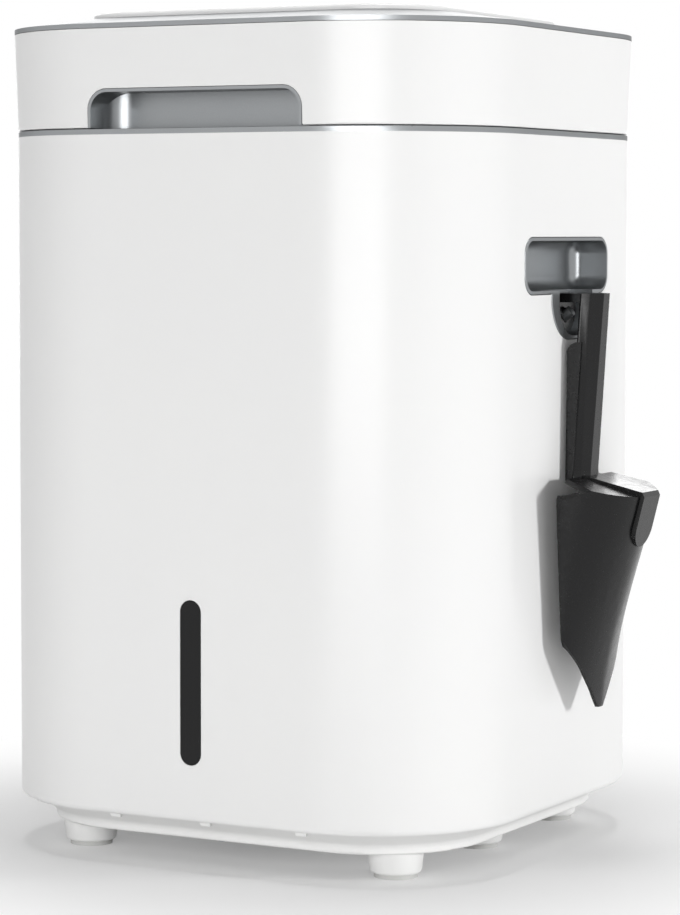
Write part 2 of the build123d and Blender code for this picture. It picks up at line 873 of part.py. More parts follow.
with BuildPart() as idler_axle:
    with BuildSketch(side_plane(gear_inner_x - gear_width)):
        with Locations((idler_y, idler_z)):
            Circle(axle_radius)
    extrude(amount=gear_width + 4 + plate_thickness)
    with BuildSketch(side_plane(gear_inner_x - gear_width)):
        with Locations((idler_y, idler_z)):
            Circle(axle_radius + 3)
    extrude(amount=-1.5)

gearbox_x = plate_x + plate_thickness

with BuildPart() as gearbox:
    with BuildSketch(side_plane(gearbox_x)):
        with Locations((motor_y, motor_z)):
            Circle(gearbox_radius)
            Circle(output_radius + 0.05, mode=Mode.SUBTRACT)
    extrude(amount=4)
    with BuildSketch(side_plane(gearbox_x + 4)):
        with Locations((motor_y, motor_z)):
            Circle(gearbox_radius)
    extrude(amount=gearbox_length - 4)

with BuildPart() as mixing_motor:
    with BuildSketch(side_plane(gearbox_x + gearbox_length)):
        with Locations((motor_y, motor_z)):
            Circle(motor_radius)
    extrude(amount=motor_length)
    fillet(mixing_motor.faces().sort_by(Axis.X)[-1].edges(), 3)
    with BuildSketch(side_plane(gearbox_x + gearbox_length + motor_length)):
        with Locations((motor_y, motor_z)):
            Circle(8)
    extrude(amount=4)

# ---------------------------------------------------------------- filter drawer and bay

bay_front = half_depth - wall - drawer_depth - bay_gap - bay_wall
bay_inner_width = drawer_width - 3
fan_hole = 26.0
leg_spacing_y = 36.0
drawer_wall = 2.0
tray_half = bay_inner_width / 2 - bay_gap
tray_bottom = bay_bottom + 1.0
tray_height = 46.0
tray_front = half_depth - wall - drawer_depth

with BuildPart() as filter_bay:
    with BuildSketch(front_plane(half_depth - wall - 0.2)):
        with Locations((0, drawer_centre_z)):
            Rectangle(bay_inner_width + 2 * bay_wall, bay_inner_height + 2 * bay_wall)
    extrude(amount=half_depth - wall - 0.2 - bay_front)
    with BuildSketch(front_plane(half_depth - wall - 0.2)):
        with Locations((0, drawer_centre_z)):
            Rectangle(bay_inner_width, bay_inner_height)
    extrude(amount=half_depth - wall - 0.2 - bay_front - bay_wall, mode=Mode.SUBTRACT)
    with BuildSketch(Plane.XY.offset(bay_top - bay_wall)):
        with Locations((0, fan_y)):
            Circle(fan_hole)
    extrude(amount=bay_wall, mode=Mode.SUBTRACT)
    # legs that stand on the base pan
    leg_height = bay_bottom - bay_wall - pan_bottom - pan_floor
    with BuildSketch(Plane.XY.offset(pan_bottom + pan_floor)):
        with Locations((0, (bay_front + half_depth - 12) / 2)):
            with GridLocations(bay_inner_width - 10, leg_spacing_y, 2, 2):
                Rectangle(6, 10)
    extrude(amount=leg_height)

grille_slots = 6
grille_pitch = 6.0
grille_length = 88.0
grille_slot = 2.6
pull_width = 40.0
pull_height = 9.0

with BuildPart() as filter_drawer:
    with BuildSketch(front_plane(half_depth)):
        with Locations((0, drawer_centre_z)):
            RectangleRounded(drawer_width, drawer_height, drawer_corner - slide_fit)
    extrude(amount=wall)
    # open tray behind the front
    with BuildSketch(Plane.XY.offset(tray_bottom)):
        with Locations((0, tray_front + drawer_depth / 2)):
            Rectangle(2 * tray_half, drawer_depth)
    extrude(amount=tray_height)
    with BuildSketch(Plane.XY.offset(tray_bottom + drawer_wall)):
        with Locations((0, tray_front + drawer_depth / 2)):
            Rectangle(2 * tray_half - 2 * drawer_wall, drawer_depth - 2 * drawer_wall)
    extrude(amount=tray_height, mode=Mode.SUBTRACT)
    # exhaust slots and a finger pull
    with BuildSketch(front_plane(half_depth)):
        with Locations((0, drawer_centre_z - 6)):
            with GridLocations(0, grille_pitch, 1, grille_slots):
                SlotOverall(grille_length, grille_slot)
        with Locations((0, drawer_centre_z + drawer_height / 2 - pull_height)):
            RectangleRounded(pull_width, pull_height, 4)
    extrude(amount=wall + drawer_wall, mode=Mode.SUBTRACT)

carbon_depth = 62.0
mesh_thickness = 1.2
mesh_gap = 2.0

with BuildPart() as carbon_filter:
    with BuildSketch(Plane.XY.offset(tray_bottom + drawer_wall)):
        with Locations((0, tray_front + drawer_wall + carbon_depth / 2 + 0.3)):
            RectangleRounded(2 * tray_half - 2 * drawer_wall - 0.6, carbon_depth, 3)
    extrude(amount=tray_height - 4)
    # cells in the top, where the air enters
    with BuildSketch(Plane.XY.offset(tray_bottom + drawer_wall + tray_height - 4)):
        with Locations((0, tray_front + drawer_wall + carbon_depth / 2 + 0.3)):
            with GridLocations(12, 12, 8, 5):
                Circle(3.6)
    extrude(amount=-6, mode=Mode.SUBTRACT)

with BuildPart() as mesh_filter:
    mesh_y = tray_front + drawer_wall + carbon_depth + mesh_gap
    with BuildSketch(front_plane(mesh_y + mesh_thickness)):
        with Locations((0, tray_bottom + drawer_wall + (tray_height - 4) / 2)):
            Rectangle(2 * tray_half - 2 * drawer_wall - 0.6, tray_height - 4)
            with GridLocations(7, 7, 13, 5):
                Circle(2.2, mode=Mode.SUBTRACT)
    extrude(amount=mesh_thickness)

# ---------------------------------------------------------------- fan and duct

hub_disc = 12.0
blade_reach = fan_bore - 1.2
rotor_gap = 2.0

with BuildPart() as fan_housing:
    with BuildSketch(Plane.XY.offset(fan_bottom)):
        with Locations((0, fan_y)):
            RectangleRounded(fan_size, fan_size, 4)
            Circle(fan_bore, mode=Mode.SUBTRACT)
    extrude(amount=fan_thickness)
    # motor plate on three struts under the rotor
    with BuildSketch(Plane.XY.offset(fan_bottom)):
        with Locations((0, fan_y)):
            Circle(hub_disc)
        for strut in range(3):
            strut_angle = 90 + 120 * strut
            with Locations(
                (
                    20 * cos(radians(strut_angle)),
                    fan_y + 20 * sin(radians(strut_angle)),
                )
            ):
                Rectangle(19, 3, rotation=strut_angle)
    extrude(amount=2)
    with BuildSketch(Plane.XY.offset(fan_bottom + 2)):
        with Locations((0, fan_y)):
            Circle(2)
    extrude(amount=8)

with BuildPart() as fan_rotor:
    with BuildSketch(Plane.XY.offset(fan_bottom + 2.3)):
        with Locations((0, fan_y)):
            Circle(hub_disc)
    extrude(amount=fan_thickness - 4.3)
    fillet(fan_rotor.edges().group_by(Axis.Z)[-1], 1.5)
    for blade in range(fan_blades):
        blade_angle = radians(360 * blade / fan_blades)
        outward = Vector(cos(blade_angle), sin(blade_angle), 0)
        blade_plane = Plane(
            origin=(0, fan_y, fan_bottom + 2.3 + (fan_thickness - 4.3) / 2),
            x_dir=(0, 0, 1),
            z_dir=outward,
        )
        with BuildSketch(blade_plane.offset(hub_disc - 1.5)):
            Rectangle(fan_thickness - 5.5, 1.6, rotation=35)
        extrude(amount=blade_reach - hub_disc - 0.5)
    with BuildSketch(Plane.XY.offset(fan_bottom + 2)):
        with Locations((0, fan_y)):
            Circle(2.05)
    extrude(amount=8.1, mode=Mode.SUBTRACT)

duct_wall = 2.0
duct_front = tub_radius + tub_wall
duct_depth = half_depth - wall - ledge_depth - duct_gap - duct_front
plenum_height = 6.0
duct_top = port_z + port_height / 2 + 6

with BuildPart() as exhaust_duct:
    with BuildSketch(Plane.XY.offset(fan_top)):
        with Locations((0, fan_y)):
            Rectangle(fan_size - 2, fan_size - 2)
    extrude(amount=plenum_height)
    with BuildSketch(Plane.XY.offset(fan_top)):
        with Locations((0, duct_front + duct_depth / 2)):
            Rectangle(duct_width, duct_depth)
    extrude(amount=duct_top - fan_top)
    with BuildSketch(Plane.XY.offset(fan_top)):
        with Locations((0, fan_y)):
            Rectangle(fan_size - 2 - 2 * duct_wall, fan_size - 2 - 2 * duct_wall)
    extrude(amount=plenum_height - duct_wall, mode=Mode.SUBTRACT)
    with BuildSketch(Plane.XY.offset(fan_top)):
        with Locations((0, duct_front + duct_depth / 2)):
            Rectangle(duct_width - 2 * duct_wall, duct_depth - 2 * duct_wall)
    extrude(amount=duct_top - duct_wall - fan_top, mode=Mode.SUBTRACT)
    with BuildSketch(front_plane(duct_front + duct_wall)):
        with Locations((0, port_z)):
            RectangleRounded(port_width, port_height, 3)
    extrude(amount=duct_wall, mode=Mode.SUBTRACT)

# ---------------------------------------------------------------- electronics

board_thickness = 1.6
supply_height = 34.0
board_x, board_y = main_board_centre
# relays, transformer, capacitor and connectors: place from the board's centre, and size
board_components = [
    (-14, -35, 18, 15, 15),
    (-14, -13, 18, 15, 15),
    (12, -25, 22, 26, 20),
    (-6, 19, 14, 14, 3),
    (18, 29, 10, 24, 10),
    (-12, 41, 18, 8, 12),
]
can_place = (12, 7)
can_radius = 8.0
can_height = 24.0

with BuildPart() as main_board:
    with BuildSketch(Plane.XY.offset(board_level)):
        with Locations(main_board_centre):
            Rectangle(*main_board_size)
    extrude(amount=board_thickness)
    for x, y, length, width, height in board_components:
        with BuildSketch(Plane.XY.offset(board_level + board_thickness)):
            with Locations((board_x + x, board_y + y)):
                Rectangle(length, width)
        extrude(amount=height)
    with BuildSketch(Plane.XY.offset(board_level + board_thickness)):
        with Locations((board_x + can_place[0], board_y + can_place[1])):
            Circle(can_radius)
    extrude(amount=can_height)

with BuildPart() as power_supply:
    with BuildSketch(Plane.XY.offset(board_level)):
        with Locations(supply_centre):
            RectangleRounded(*supply_size, 2)
    extrude(amount=supply_height)
    with BuildSketch(Plane.XY.offset(board_level + supply_height)):
        with Locations(supply_centre):
            with GridLocations(8, 12, 7, 3):
                Circle(2.2)
    extrude(amount=-4, mode=Mode.SUBTRACT)

inlet_depth = 22.0
inlet_flange = 2.5
pin_spots = [(-7, -2), (7, -2), (0, 2.5)]

with BuildPart() as mains_inlet:
    with BuildSketch(front_plane(half_depth)):
        with Locations((inlet_x, power_z)):
            RectangleRounded(inlet_width, inlet_height, 2.7)
    extrude(amount=inlet_depth)
    with BuildSketch(front_plane(half_depth)):
        with Locations((inlet_x, power_z)):
            RectangleRounded(
                inlet_width + 2 * inlet_flange, inlet_height + 2 * inlet_flange, 3
            )
    extrude(amount=-1.6)
    with BuildSketch(front_plane(half_depth + 1.6)):
        with Locations((inlet_x, power_z)):
            RectangleRounded(inlet_width - 4, inlet_height - 3, 2)
    extrude(amount=17, mode=Mode.SUBTRACT)
    with BuildSketch(front_plane(half_depth + 1.6 - 17)):
        with Locations((inlet_x, power_z)):
            with Locations(*pin_spots):
                Rectangle(2, 4)
    extrude(amount=-12)

rocker_y = half_depth - 1.5
rocker_width = 9.6
rocker_half_height = 8.2
rocker_gap = 0.5
rocker_pivot = 1.5

with BuildPart() as switch_housing:
    with BuildSketch(front_plane(half_depth)):
        with Locations((switch_x, power_z)):
            RectangleRounded(switch_width, switch_height, 0.7)
    extrude(amount=18)
    with BuildSketch(front_plane(half_depth)):
        with Locations((switch_x, power_z)):
            RectangleRounded(switch_width + 3, switch_height + 3, 1.5)
    extrude(amount=-1.6)
    with BuildSketch(front_plane(half_depth + 1.6)):
        with Locations((switch_x, power_z)):
            Rectangle(rocker_width + 2 * rocker_gap, 2 * rocker_half_height + 1.6)
    extrude(amount=11, mode=Mode.SUBTRACT)
    # pivot pin across the well
    with BuildSketch(side_plane(switch_x - switch_width / 2 + 1)):
        with Locations((rocker_y, power_z)):
            Circle(rocker_pivot)
    extrude(amount=switch_width - 2)

with BuildPart() as rocker:
    tilt = rocker_throw / 2
    with BuildSketch(
        Plane(
            origin=(switch_x - rocker_width / 2, rocker_y, power_z),
            x_dir=(0, cos(radians(tilt)), sin(radians(tilt))),
            z_dir=(1, 0, 0),
        )
    ):
        with BuildLine():
            Polyline(
                (-2.6, -3.2),
                (-2.6, 3.2),
                (0.8, rocker_half_height - 0.6),
                (3.4, rocker_half_height - 0.9),
                (2.2, 0),
                (3.4, -rocker_half_height + 0.9),
                (0.8, -rocker_half_height + 0.6),
                close=True,
            )
        make_face()
        Circle(rocker_pivot + 0.05, mode=Mode.SUBTRACT)
    extrude(amount=rocker_width)

# ---------------------------------------------------------------- lid

web_height = 3.5
web_inset = 50.0
trim_bottom = lid_top + 0.3
slope_bottom = trim_bottom + rim_height
slope_top = slope_bottom + slope_height
trim_thickness = 2.5
shelf_width = 8.0
shelf_thickness = 2.5
plate_top = slope_top + plate_rise
plate_bottom = plate_top - plate_height
pocket_wall = 2.0
pocket_radius = 12.0
hinge_z = lid_bottom - 2.0
arm_foot_bottom = lid_bottom + 6
arm_foot_top = lid_bottom + 36
arm_foot_y = half_depth + 3

with BuildPart() as lid_shell:
    with BuildSketch(Plane.XY.offset(lid_bottom)):
        cabinet_outline(0)
    with BuildSketch(Plane.XY.offset(lid_top)):
        cabinet_outline(-skirt_flare)
    loft()
    fillet(lid_shell.edges().group_by(Axis.Z)[0], 1.2)
    inner_top = lid_top - web_height
    inner_flare = skirt_flare * (inner_top - lid_bottom) / skirt_height
    with BuildSketch(Plane.XY.offset(lid_bottom)):
        cabinet_outline(wall)
    with BuildSketch(Plane.XY.offset(inner_top)):
        cabinet_outline(wall - inner_flare)
    loft(mode=Mode.SUBTRACT)
    with BuildSketch(Plane.XY.offset(inner_top)):
        cabinet_outline(web_inset)
    extrude(amount=web_height, mode=Mode.SUBTRACT)
    # opening for the front finger pocket
    with BuildSketch(front_plane(-half_depth - skirt_flare)):
        with Locations((0, lid_bottom)):
            RectangleRounded(lid_grip_width, 2 * lid_grip_height, pocket_radius)
    extrude(amount=-(wall + 2 * skirt_flare), mode=Mode.SUBTRACT)
    # pads that the hinge arms screw to
    for side in (-1, 1):
        pad_x = side * (arm_inner_x + arm_thickness / 2 + 0.5)
        with BuildSketch(front_plane(arm_foot_y)):
            with Locations((pad_x, (arm_foot_bottom + arm_foot_top) / 2)):
                Rectangle(arm_thickness + 1, arm_foot_top - arm_foot_bottom + 3)
        extrude(amount=arm_foot_y - half_depth + wall - 0.5)

with BuildPart() as lid_trim:
    with BuildSketch(Plane.XY.offset(trim_bottom)):
        cabinet_outline(-skirt_flare)
    extrude(amount=rim_height)
    with BuildSketch(Plane.XY.offset(slope_bottom)):
        cabinet_outline(-skirt_flare)
    with BuildSketch(Plane.XY.offset(slope_top)):
        cabinet_outline(slope_width)
    loft()
    with BuildSketch(Plane.XY.offset(trim_bottom)):
        cabinet_outline(trim_thickness)
    with BuildSketch(Plane.XY.offset(slope_top - trim_thickness)):
        cabinet_outline(slope_width)
    loft(mode=Mode.SUBTRACT)
    with BuildSketch(Plane.XY.offset(plate_bottom - shelf_thickness)):
        cabinet_outline(slope_width - 4)
    extrude(amount=shelf_thickness)
    with BuildSketch(Plane.XY.offset(trim_bottom)):
        cabinet_outline(slope_width + shelf_width)
    extrude(amount=20, mode=Mode.SUBTRACT)
    with BuildSketch(Plane.XY.offset(plate_bottom)):
        cabinet_outline(slope_width)
    extrude(amount=20, mode=Mode.SUBTRACT)

panel_hole_gap = 0.3

with BuildPart() as top_plate:
    with BuildSketch(Plane.XY.offset(plate_bottom)):
        cabinet_outline(slope_width + plate_gap)
    extrude(amount=plate_height)
    fillet(top_plate.edges().group_by(Axis.Z)[-1], 1.5)
    with BuildSketch(Plane.XY.offset(plate_bottom)):
        with Locations((0, panel_y)):
            SlotOverall(panel_length + 2 * panel_hole_gap, panel_width + 2 * panel_hole_gap)
    extrude(amount=plate_height, mode=Mode.SUBTRACT)

panel_flange = 3.0
panel_flange_thickness = 1.5
button_gap = 0.35
button_proud = 0.8
button_flange = 1.2

with BuildPart() as control_panel:
    with BuildSketch(Plane.XY.offset(plate_bottom)):
        with Locations((0, panel_y)):
            SlotOverall(panel_length, panel_width)
    extrude(amount=plate_height)
    fillet(control_panel.edges().group_by(Axis.Z)[-1], 0.5)
    with BuildSketch(Plane.XY.offset(plate_bottom)):
        with Locations((0, panel_y)):
            SlotOverall(panel_length + 2 * panel_flange, panel_width + 2 * panel_flange)
    extrude(amount=-panel_flange_thickness)
    with BuildSketch(Plane.XY.offset(plate_bottom - panel_flange_thickness)):
        with Locations((0, panel_y)):
            with GridLocations(button_pitch, 0, 3, 1):
                Circle(button_radius + button_gap)
    extrude(amount=plate_height + panel_flange_thickness, mode=Mode.SUBTRACT)
    # posts that carry the panel board
    with BuildSketch(Plane.XY.offset(plate_bottom - panel_flange_thickness)):
        with Locations((0, panel_y)):
            with GridLocations(panel_length - 8, 0, 2, 1):
                Circle(3)
    extrude(amount=-4)

tact_height = 1.6
panel_board_top = plate_bottom - panel_flange_thickness - 4

with BuildPart() as panel_board:
    with BuildSketch(Plane.XY.offset(panel_board_top)):
        with Locations((0, panel_y)):
            Rectangle(panel_length, panel_width)
    extrude(amount=-board_thickness)
    # tact switches under the buttons
    with BuildSketch(Plane.XY.offset(panel_board_top)):
        with Locations((0, panel_y)):
            with GridLocations(button_pitch, 0, 3, 1):
                Rectangle(6, 6)
    extrude(amount=tact_height)

button_bottom = panel_board_top + tact_height + button_travel + 0.3
buttons = {}
for index, button_name in enumerate(("button_power", "button_mode", "button_lid")):
    button_x = (index - 1) * button_pitch
    with BuildPart() as button:
        with BuildSketch(Plane.XY.offset(button_bottom)):
            with Locations((button_x, panel_y)):
                Circle(button_radius)
        extrude(amount=plate_top + button_proud - button_bottom)
        fillet(button.edges().group_by(Axis.Z)[-1], 0.7)
    buttons[button_name] = button

# the pocket's hollow: rounded at its upper corners seen from the front, and more at its
# ends seen from above
with BuildPart() as lid_hollow:
    with BuildSketch(front_plane(-half_depth - lid_grip_proud)):
        with Locations((0, lid_bottom)):
            RectangleRounded(
                lid_grip_width - 2 * pocket_wall,
                2 * (lid_grip_height - pocket_wall),
                pocket_radius - pocket_wall,
            )
    extrude(amount=-(lid_grip_depth + lid_grip_proud))
    with BuildSketch(Plane.XY.offset(lid_bottom - lid_grip_height)):
        with Locations((0, -half_depth)):
            RectangleRounded(
                lid_grip_width - 2 * pocket_wall, 2 * lid_grip_depth, lid_grip_end_radius
            )
    extrude(amount=2 * lid_grip_height, mode=Mode.INTERSECT)

with BuildPart() as lid_grip:
    with BuildSketch(front_plane(-half_depth - lid_grip_proud)):
        with Locations((0, lid_bottom)):
            RectangleRounded(
                lid_grip_width - 2 * slide_fit,
                2 * (lid_grip_height - slide_fit),
                pocket_radius - slide_fit,
            )
    extrude(amount=-(lid_grip_depth + pocket_wall + lid_grip_proud))
    add(lid_hollow.part, mode=Mode.SUBTRACT)
    # nothing of the pocket hangs below the lid's edge
    with BuildSketch(Plane.XY.offset(lid_bottom)):
        Rectangle(2 * cabinet_width, 2 * cabinet_depth)
    extrude(amount=-2 * lid_grip_height, mode=Mode.SUBTRACT)

liner_level = lid_bottom + 6
liner_thickness = 3.0
liner_rise = 10.0
gasket_gap = 0.3
gasket_width = 9.0

with BuildPart() as lid_liner:
    with BuildSketch(Plane.XY.offset(liner_level)):
        cabinet_outline(wall + slide_fit)
    extrude(amount=liner_thickness)
    with BuildSketch(Plane.XY.offset(liner_level)):
        RectangleRounded(mouth_length - 20, mouth_width - 20, 30)
    extrude(amount=liner_rise + liner_thickness, taper=12)
    with BuildSketch(Plane.XY.offset(liner_level)):
        RectangleRounded(mouth_length - 20 - 6, mouth_width - 20 - 6, 27)
    extrude(amount=liner_rise, taper=12, mode=Mode.SUBTRACT)
    with BuildSketch(Plane.XY.offset(liner_level)):
        with Locations((0, -half_depth)):
            Rectangle(lid_grip_width + 4, 2 * (lid_grip_depth + pocket_wall + 2))
    extrude(amount=liner_thickness, mode=Mode.SUBTRACT)

with BuildPart() as lid_gasket:
    gasket_bottom = body_top + collar_height + gasket_gap
    with BuildSketch(Plane.XY.offset(gasket_bottom)):
        RectangleRounded(
            mouth_length + gasket_width, mouth_width + gasket_width, tub_corner + gasket_width / 2
        )
        RectangleRounded(
            mouth_length - gasket_width + 4,
            mouth_width - gasket_width + 4,
            tub_corner - 2,
            mode=Mode.SUBTRACT,
        )
    extrude(amount=liner_level - gasket_bottom)
    fillet(lid_gasket.edges().group_by(Axis.Z)[0], 1.5)

# ---------------------------------------------------------------- lid hinge

with BuildPart() as hinge_housing:
    with BuildSketch(side_plane(-hinge_half_length)):
        with Locations((hinge_y, hinge_z)):
            Circle(hinge_radius)
        with BuildLine():
            Polyline(
                (half_depth, body_top - 2),
                (hinge_y - 8, hinge_z),
                (hinge_y, hinge_z - hinge_radius),
                (half_depth, hinge_z - 2.6 * hinge_radius),
                close=True,
            )
        make_face()
    extrude(amount=2 * hinge_half_length)
    with BuildSketch(side_plane(-hinge_half_length + 1.5)):
        with Locations((hinge_y, hinge_z)):
            Circle(drive_radius + 0.05)
    extrude(amount=2 * hinge_half_length - 3, mode=Mode.SUBTRACT)
    with BuildSketch(side_plane(-hinge_half_length)):
        with Locations((hinge_y, hinge_z)):
            Circle(pivot_radius + 0.3)
    extrude(amount=2 * hinge_half_length, mode=Mode.SUBTRACT)

with BuildPart() as lid_drive:
    with BuildSketch(side_plane(-hinge_half_length + 1.8)):
        with Locations((hinge_y, hinge_z)):
            Circle(drive_radius)
    extrude(amount=2 * hinge_half_length - 3.6)
    with BuildSketch(side_plane(-arm_inner_x - arm_thickness)):
        with Locations((hinge_y, hinge_z)):
            Circle(pivot_radius)
    extrude(amount=2 * (arm_inner_x + arm_thickness))

arms = {}
for side_name, side in (("left", -1), ("right", 1)):
    with BuildPart() as arm:
        with BuildSketch(side_plane(side * arm_inner_x)):
            with Locations((hinge_y, hinge_z)):
                Circle(arm_radius)
            with Locations((arm_foot_y + 1.5, (arm_foot_bottom + arm_foot_top) / 2)):
                Rectangle(3, arm_foot_top - arm_foot_bottom)
            make_hull()
            with Locations((hinge_y, hinge_z)):
                Circle(pivot_radius + pivot_clearance, mode=Mode.SUBTRACT)
        extrude(amount=side * arm_thickness)
    arms["lid_arm_" + side_name] = arm

# ---------------------------------------------------------------- scoop

# blade sections from the top down: height over the blade's top, depth from the rim, half
# width and fullness, which is 2 for half an ellipse and less where the keel is sharper
blade_sections = [
    (10.8, 41.5, 46.0, 2.05),
    (-46.2, 27.4, 41.3, 1.75),
    (-92.2, 14.6, 37.0, 1.5),
    (-138.2, 7.5, 33.0, 1.35),
]
# half of the mouth's outline seen from the side, as half width and height over the
# blade's top, down to the tip
mouth_profile = [
    (37.2, -88.9),
    (34.6, -93.2),
    (30.7, -98.2),
    (25.0, -104.4),
    (19.9, -110.6),
    (14.0, -117.2),
    (8.0, -124.4),
]
mouth_points = [(half, scoop_top + rise) for half, rise in mouth_profile]
mouth_tip_half = 3.0
shoulder_half = 30.0
shoulder_drop = 11.0


def blade_section(depth, half, fullness, open_by):
    """A trough bulging outward from the rim, carried back by open_by."""
    arc = [(scoop_rim_x, scoop_y - half)]
    for turn in range(-75, 76, 15):
        across = sin(radians(abs(turn))) ** (2 / fullness)
        out = cos(radians(turn)) ** (2 / fullness)
        side = 1 if turn > 0 else -1
        arc.append((scoop_rim_x + depth * out, scoop_y + side * half * across))
    arc.append((scoop_rim_x, scoop_y + half))
    with BuildSketch() as section:
        with BuildLine():
            Spline(*arc)
            Polyline(
                (scoop_rim_x, scoop_y + half),
                (scoop_rim_x - open_by, scoop_y + half),
                (scoop_rim_x - open_by, scoop_y - half),
                (scoop_rim_x, scoop_y - half),
            )
        make_face()
    return section.sketch


def blade_form(inset, open_by):
    """The scoop's blade before its mouth is cut, or the hollow inside it."""
    with BuildPart() as form:
        for rise, depth, half, fullness in blade_sections:
            with BuildSketch(Plane.XY.offset(scoop_top + rise)):
                add(blade_section(depth - inset, half - inset, fullness, open_by))
        loft()
        with BuildSketch(front_plane(scoop_y - 2 * scoop_half_width)):
            with BuildLine():
                top = scoop_top - inset
                beyond = 2 * scoop_half_width
                Polyline(
                    (scoop_rim_x - scoop_half_width, top + scoop_half_width),
                    (scoop_rim_x - scoop_half_width, top),
                    (scoop_rim_x, top),
                    (scoop_rim_x + beyond, top - beyond * back_slope),
                    (scoop_rim_x + beyond, top + scoop_half_width),
                    close=True,
                )
            make_face()
        extrude(amount=-4 * scoop_half_width, mode=Mode.SUBTRACT)
    return form.part


def handle_section(inner_x, thickness, half, ridge_out, ridge_half):
    """A six-sided bar section with softened edges, flat on the cabinet's side."""
    with BuildSketch() as section:
        with BuildLine():
            Polyline(
                (inner_x, scoop_y - half),
                (inner_x + ridge_out * thickness, scoop_y - ridge_half * half),
                (inner_x + thickness, scoop_y - 0.28 * half),
                (inner_x + thickness, scoop_y + 0.28 * half),
                (inner_x + ridge_out * thickness, scoop_y + ridge_half * half),
                (inner_x, scoop_y + half),
                close=True,
            )
        make_face()
        fillet(section.vertices(), 1.3)
    return section.sketch


hook_leg_x = half_width - lobe_depth + 3
hook_bottom = lobe_opening_bottom + 1.2
peg_hole_gap = 0.4
bridge_thickness = 5.0
strap_proud = 1.2
keel_x = scoop_rim_x + 37.1
keel_z = scoop_top - 8.6
strap_end_x = scoop_rim_x + 29.9
root_x = half_width + 7.6
heel_x = half_width + 3.4

# strap that carries the handle over the back wall and down the keel
with BuildPart() as strap:
    with BuildSketch(front_plane(scoop_y - strap_half)):
        with BuildLine():
            Polyline(
                (scoop_rim_x - 2, scoop_top - 1.5),
                (keel_x - 3.5, keel_z - 2.5),
                (strap_end_x - 3.5, strap_bottom),
                (strap_end_x + strap_proud, strap_bottom),
                (keel_x + strap_proud, keel_z - 1.5),
                (keel_x, keel_z + strap_proud),
                (scoop_rim_x - 2, scoop_top + strap_proud + 0.3),
                close=True,
            )
        make_face()
    extrude(amount=-2 * strap_half)
    # its lower end is round
    with BuildSketch(side_plane(scoop_rim_x + 6)):
        with Locations((scoop_y, strap_bottom)):
            Rectangle(2 * strap_half + 1, 2 * strap_half)
        with Locations((scoop_y, strap_bottom + strap_half)):
            Circle(strap_half, mode=Mode.SUBTRACT)
    extrude(amount=2 * scoop_half_width, mode=Mode.SUBTRACT)

with BuildPart() as scoop:
    add(blade_form(0, 1))
    # spade-shaped outline seen from the side
    with BuildSketch(side_plane(scoop_rim_x)):
        with BuildLine():
            Polyline(
                (scoop_y + mouth_points[0][0], mouth_points[0][1]),
                (scoop_y + scoop_half_width, scoop_top - shoulder_drop),
                (scoop_y + scoop_half_width - 3.5, scoop_top - shoulder_drop + 4.5),
                (scoop_y + shoulder_half, scoop_top),
                (scoop_y + shoulder_half, scoop_top + 4),
                (scoop_y - shoulder_half, scoop_top + 4),
                (scoop_y - shoulder_half, scoop_top),
                (scoop_y - scoop_half_width + 3.5, scoop_top - shoulder_drop + 4.5),
                (scoop_y - scoop_half_width, scoop_top - shoulder_drop),
                (scoop_y - mouth_points[0][0], mouth_points[0][1]),
            )
            Spline(*[(scoop_y - half, z) for half, z in mouth_points])
            Spline(*[(scoop_y + half, z) for half, z in mouth_points])
            Polyline(
                (scoop_y - mouth_points[-1][0], mouth_points[-1][1]),
                (scoop_y - mouth_tip_half, scoop_tip),
                (scoop_y + mouth_tip_half, scoop_tip),
                (scoop_y + mouth_points[-1][0], mouth_points[-1][1]),
            )
        make_face()
    extrude(amount=2 * scoop_half_width, mode=Mode.INTERSECT)
    add(strap.part)
    # handle, leaning out towards its top
    for z, inner_x, thickness, half, ridge_out, ridge_half in (
        (scoop_top - 6.2, root_x, 5.0, handle_root_half + 0.5, 0.62, 0.7),
        (scoop_top + 3.8, heel_x, 9.2, handle_root_half, 0.66, 0.62),
        (handle_top, handle_end_x, 10.8, handle_end_half, 0.56, 0.83),
    ):
        with BuildSketch(Plane.XY.offset(z)):
            add(handle_section(inner_x, thickness, half, ridge_out, ridge_half))
    loft(ruled=True)
    # hook: a bridge into the lobe and a round-ended leg behind it
    with BuildSketch(Plane.XY.offset(handle_top - bridge_thickness)):
        with Locations(((hook_leg_x + handle_end_x + 2) / 2, scoop_y)):
            Rectangle(handle_end_x + 2 - hook_leg_x, 2 * hook_half)
    extrude(amount=bridge_thickness)
    with BuildSketch(side_plane(hook_leg_x)):
        with Locations((scoop_y, hook_bottom + hook_half)):
            Circle(hook_half)
        with Locations((scoop_y, (hook_bottom + hook_half + handle_top) / 2)):
            Rectangle(2 * hook_half, handle_top - hook_bottom - hook_half)
        with Locations((scoop_y, handle_top + hook_half)):
            Rectangle(3 * hook_half, 2 * hook_half, mode=Mode.SUBTRACT)
    extrude(amount=hook_thickness)
    add(blade_form(scoop_wall, 3), mode=Mode.SUBTRACT)
    # the leg's hole for the peg
    with BuildSketch(Plane(origin=peg_root, x_dir=(0, 1, 0), z_dir=peg_direction)):
        Circle(peg_radius + peg_hole_gap)
    extrude(amount=peg_length + 1.5, mode=Mode.SUBTRACT)

# ---------------------------------------------------------------- export

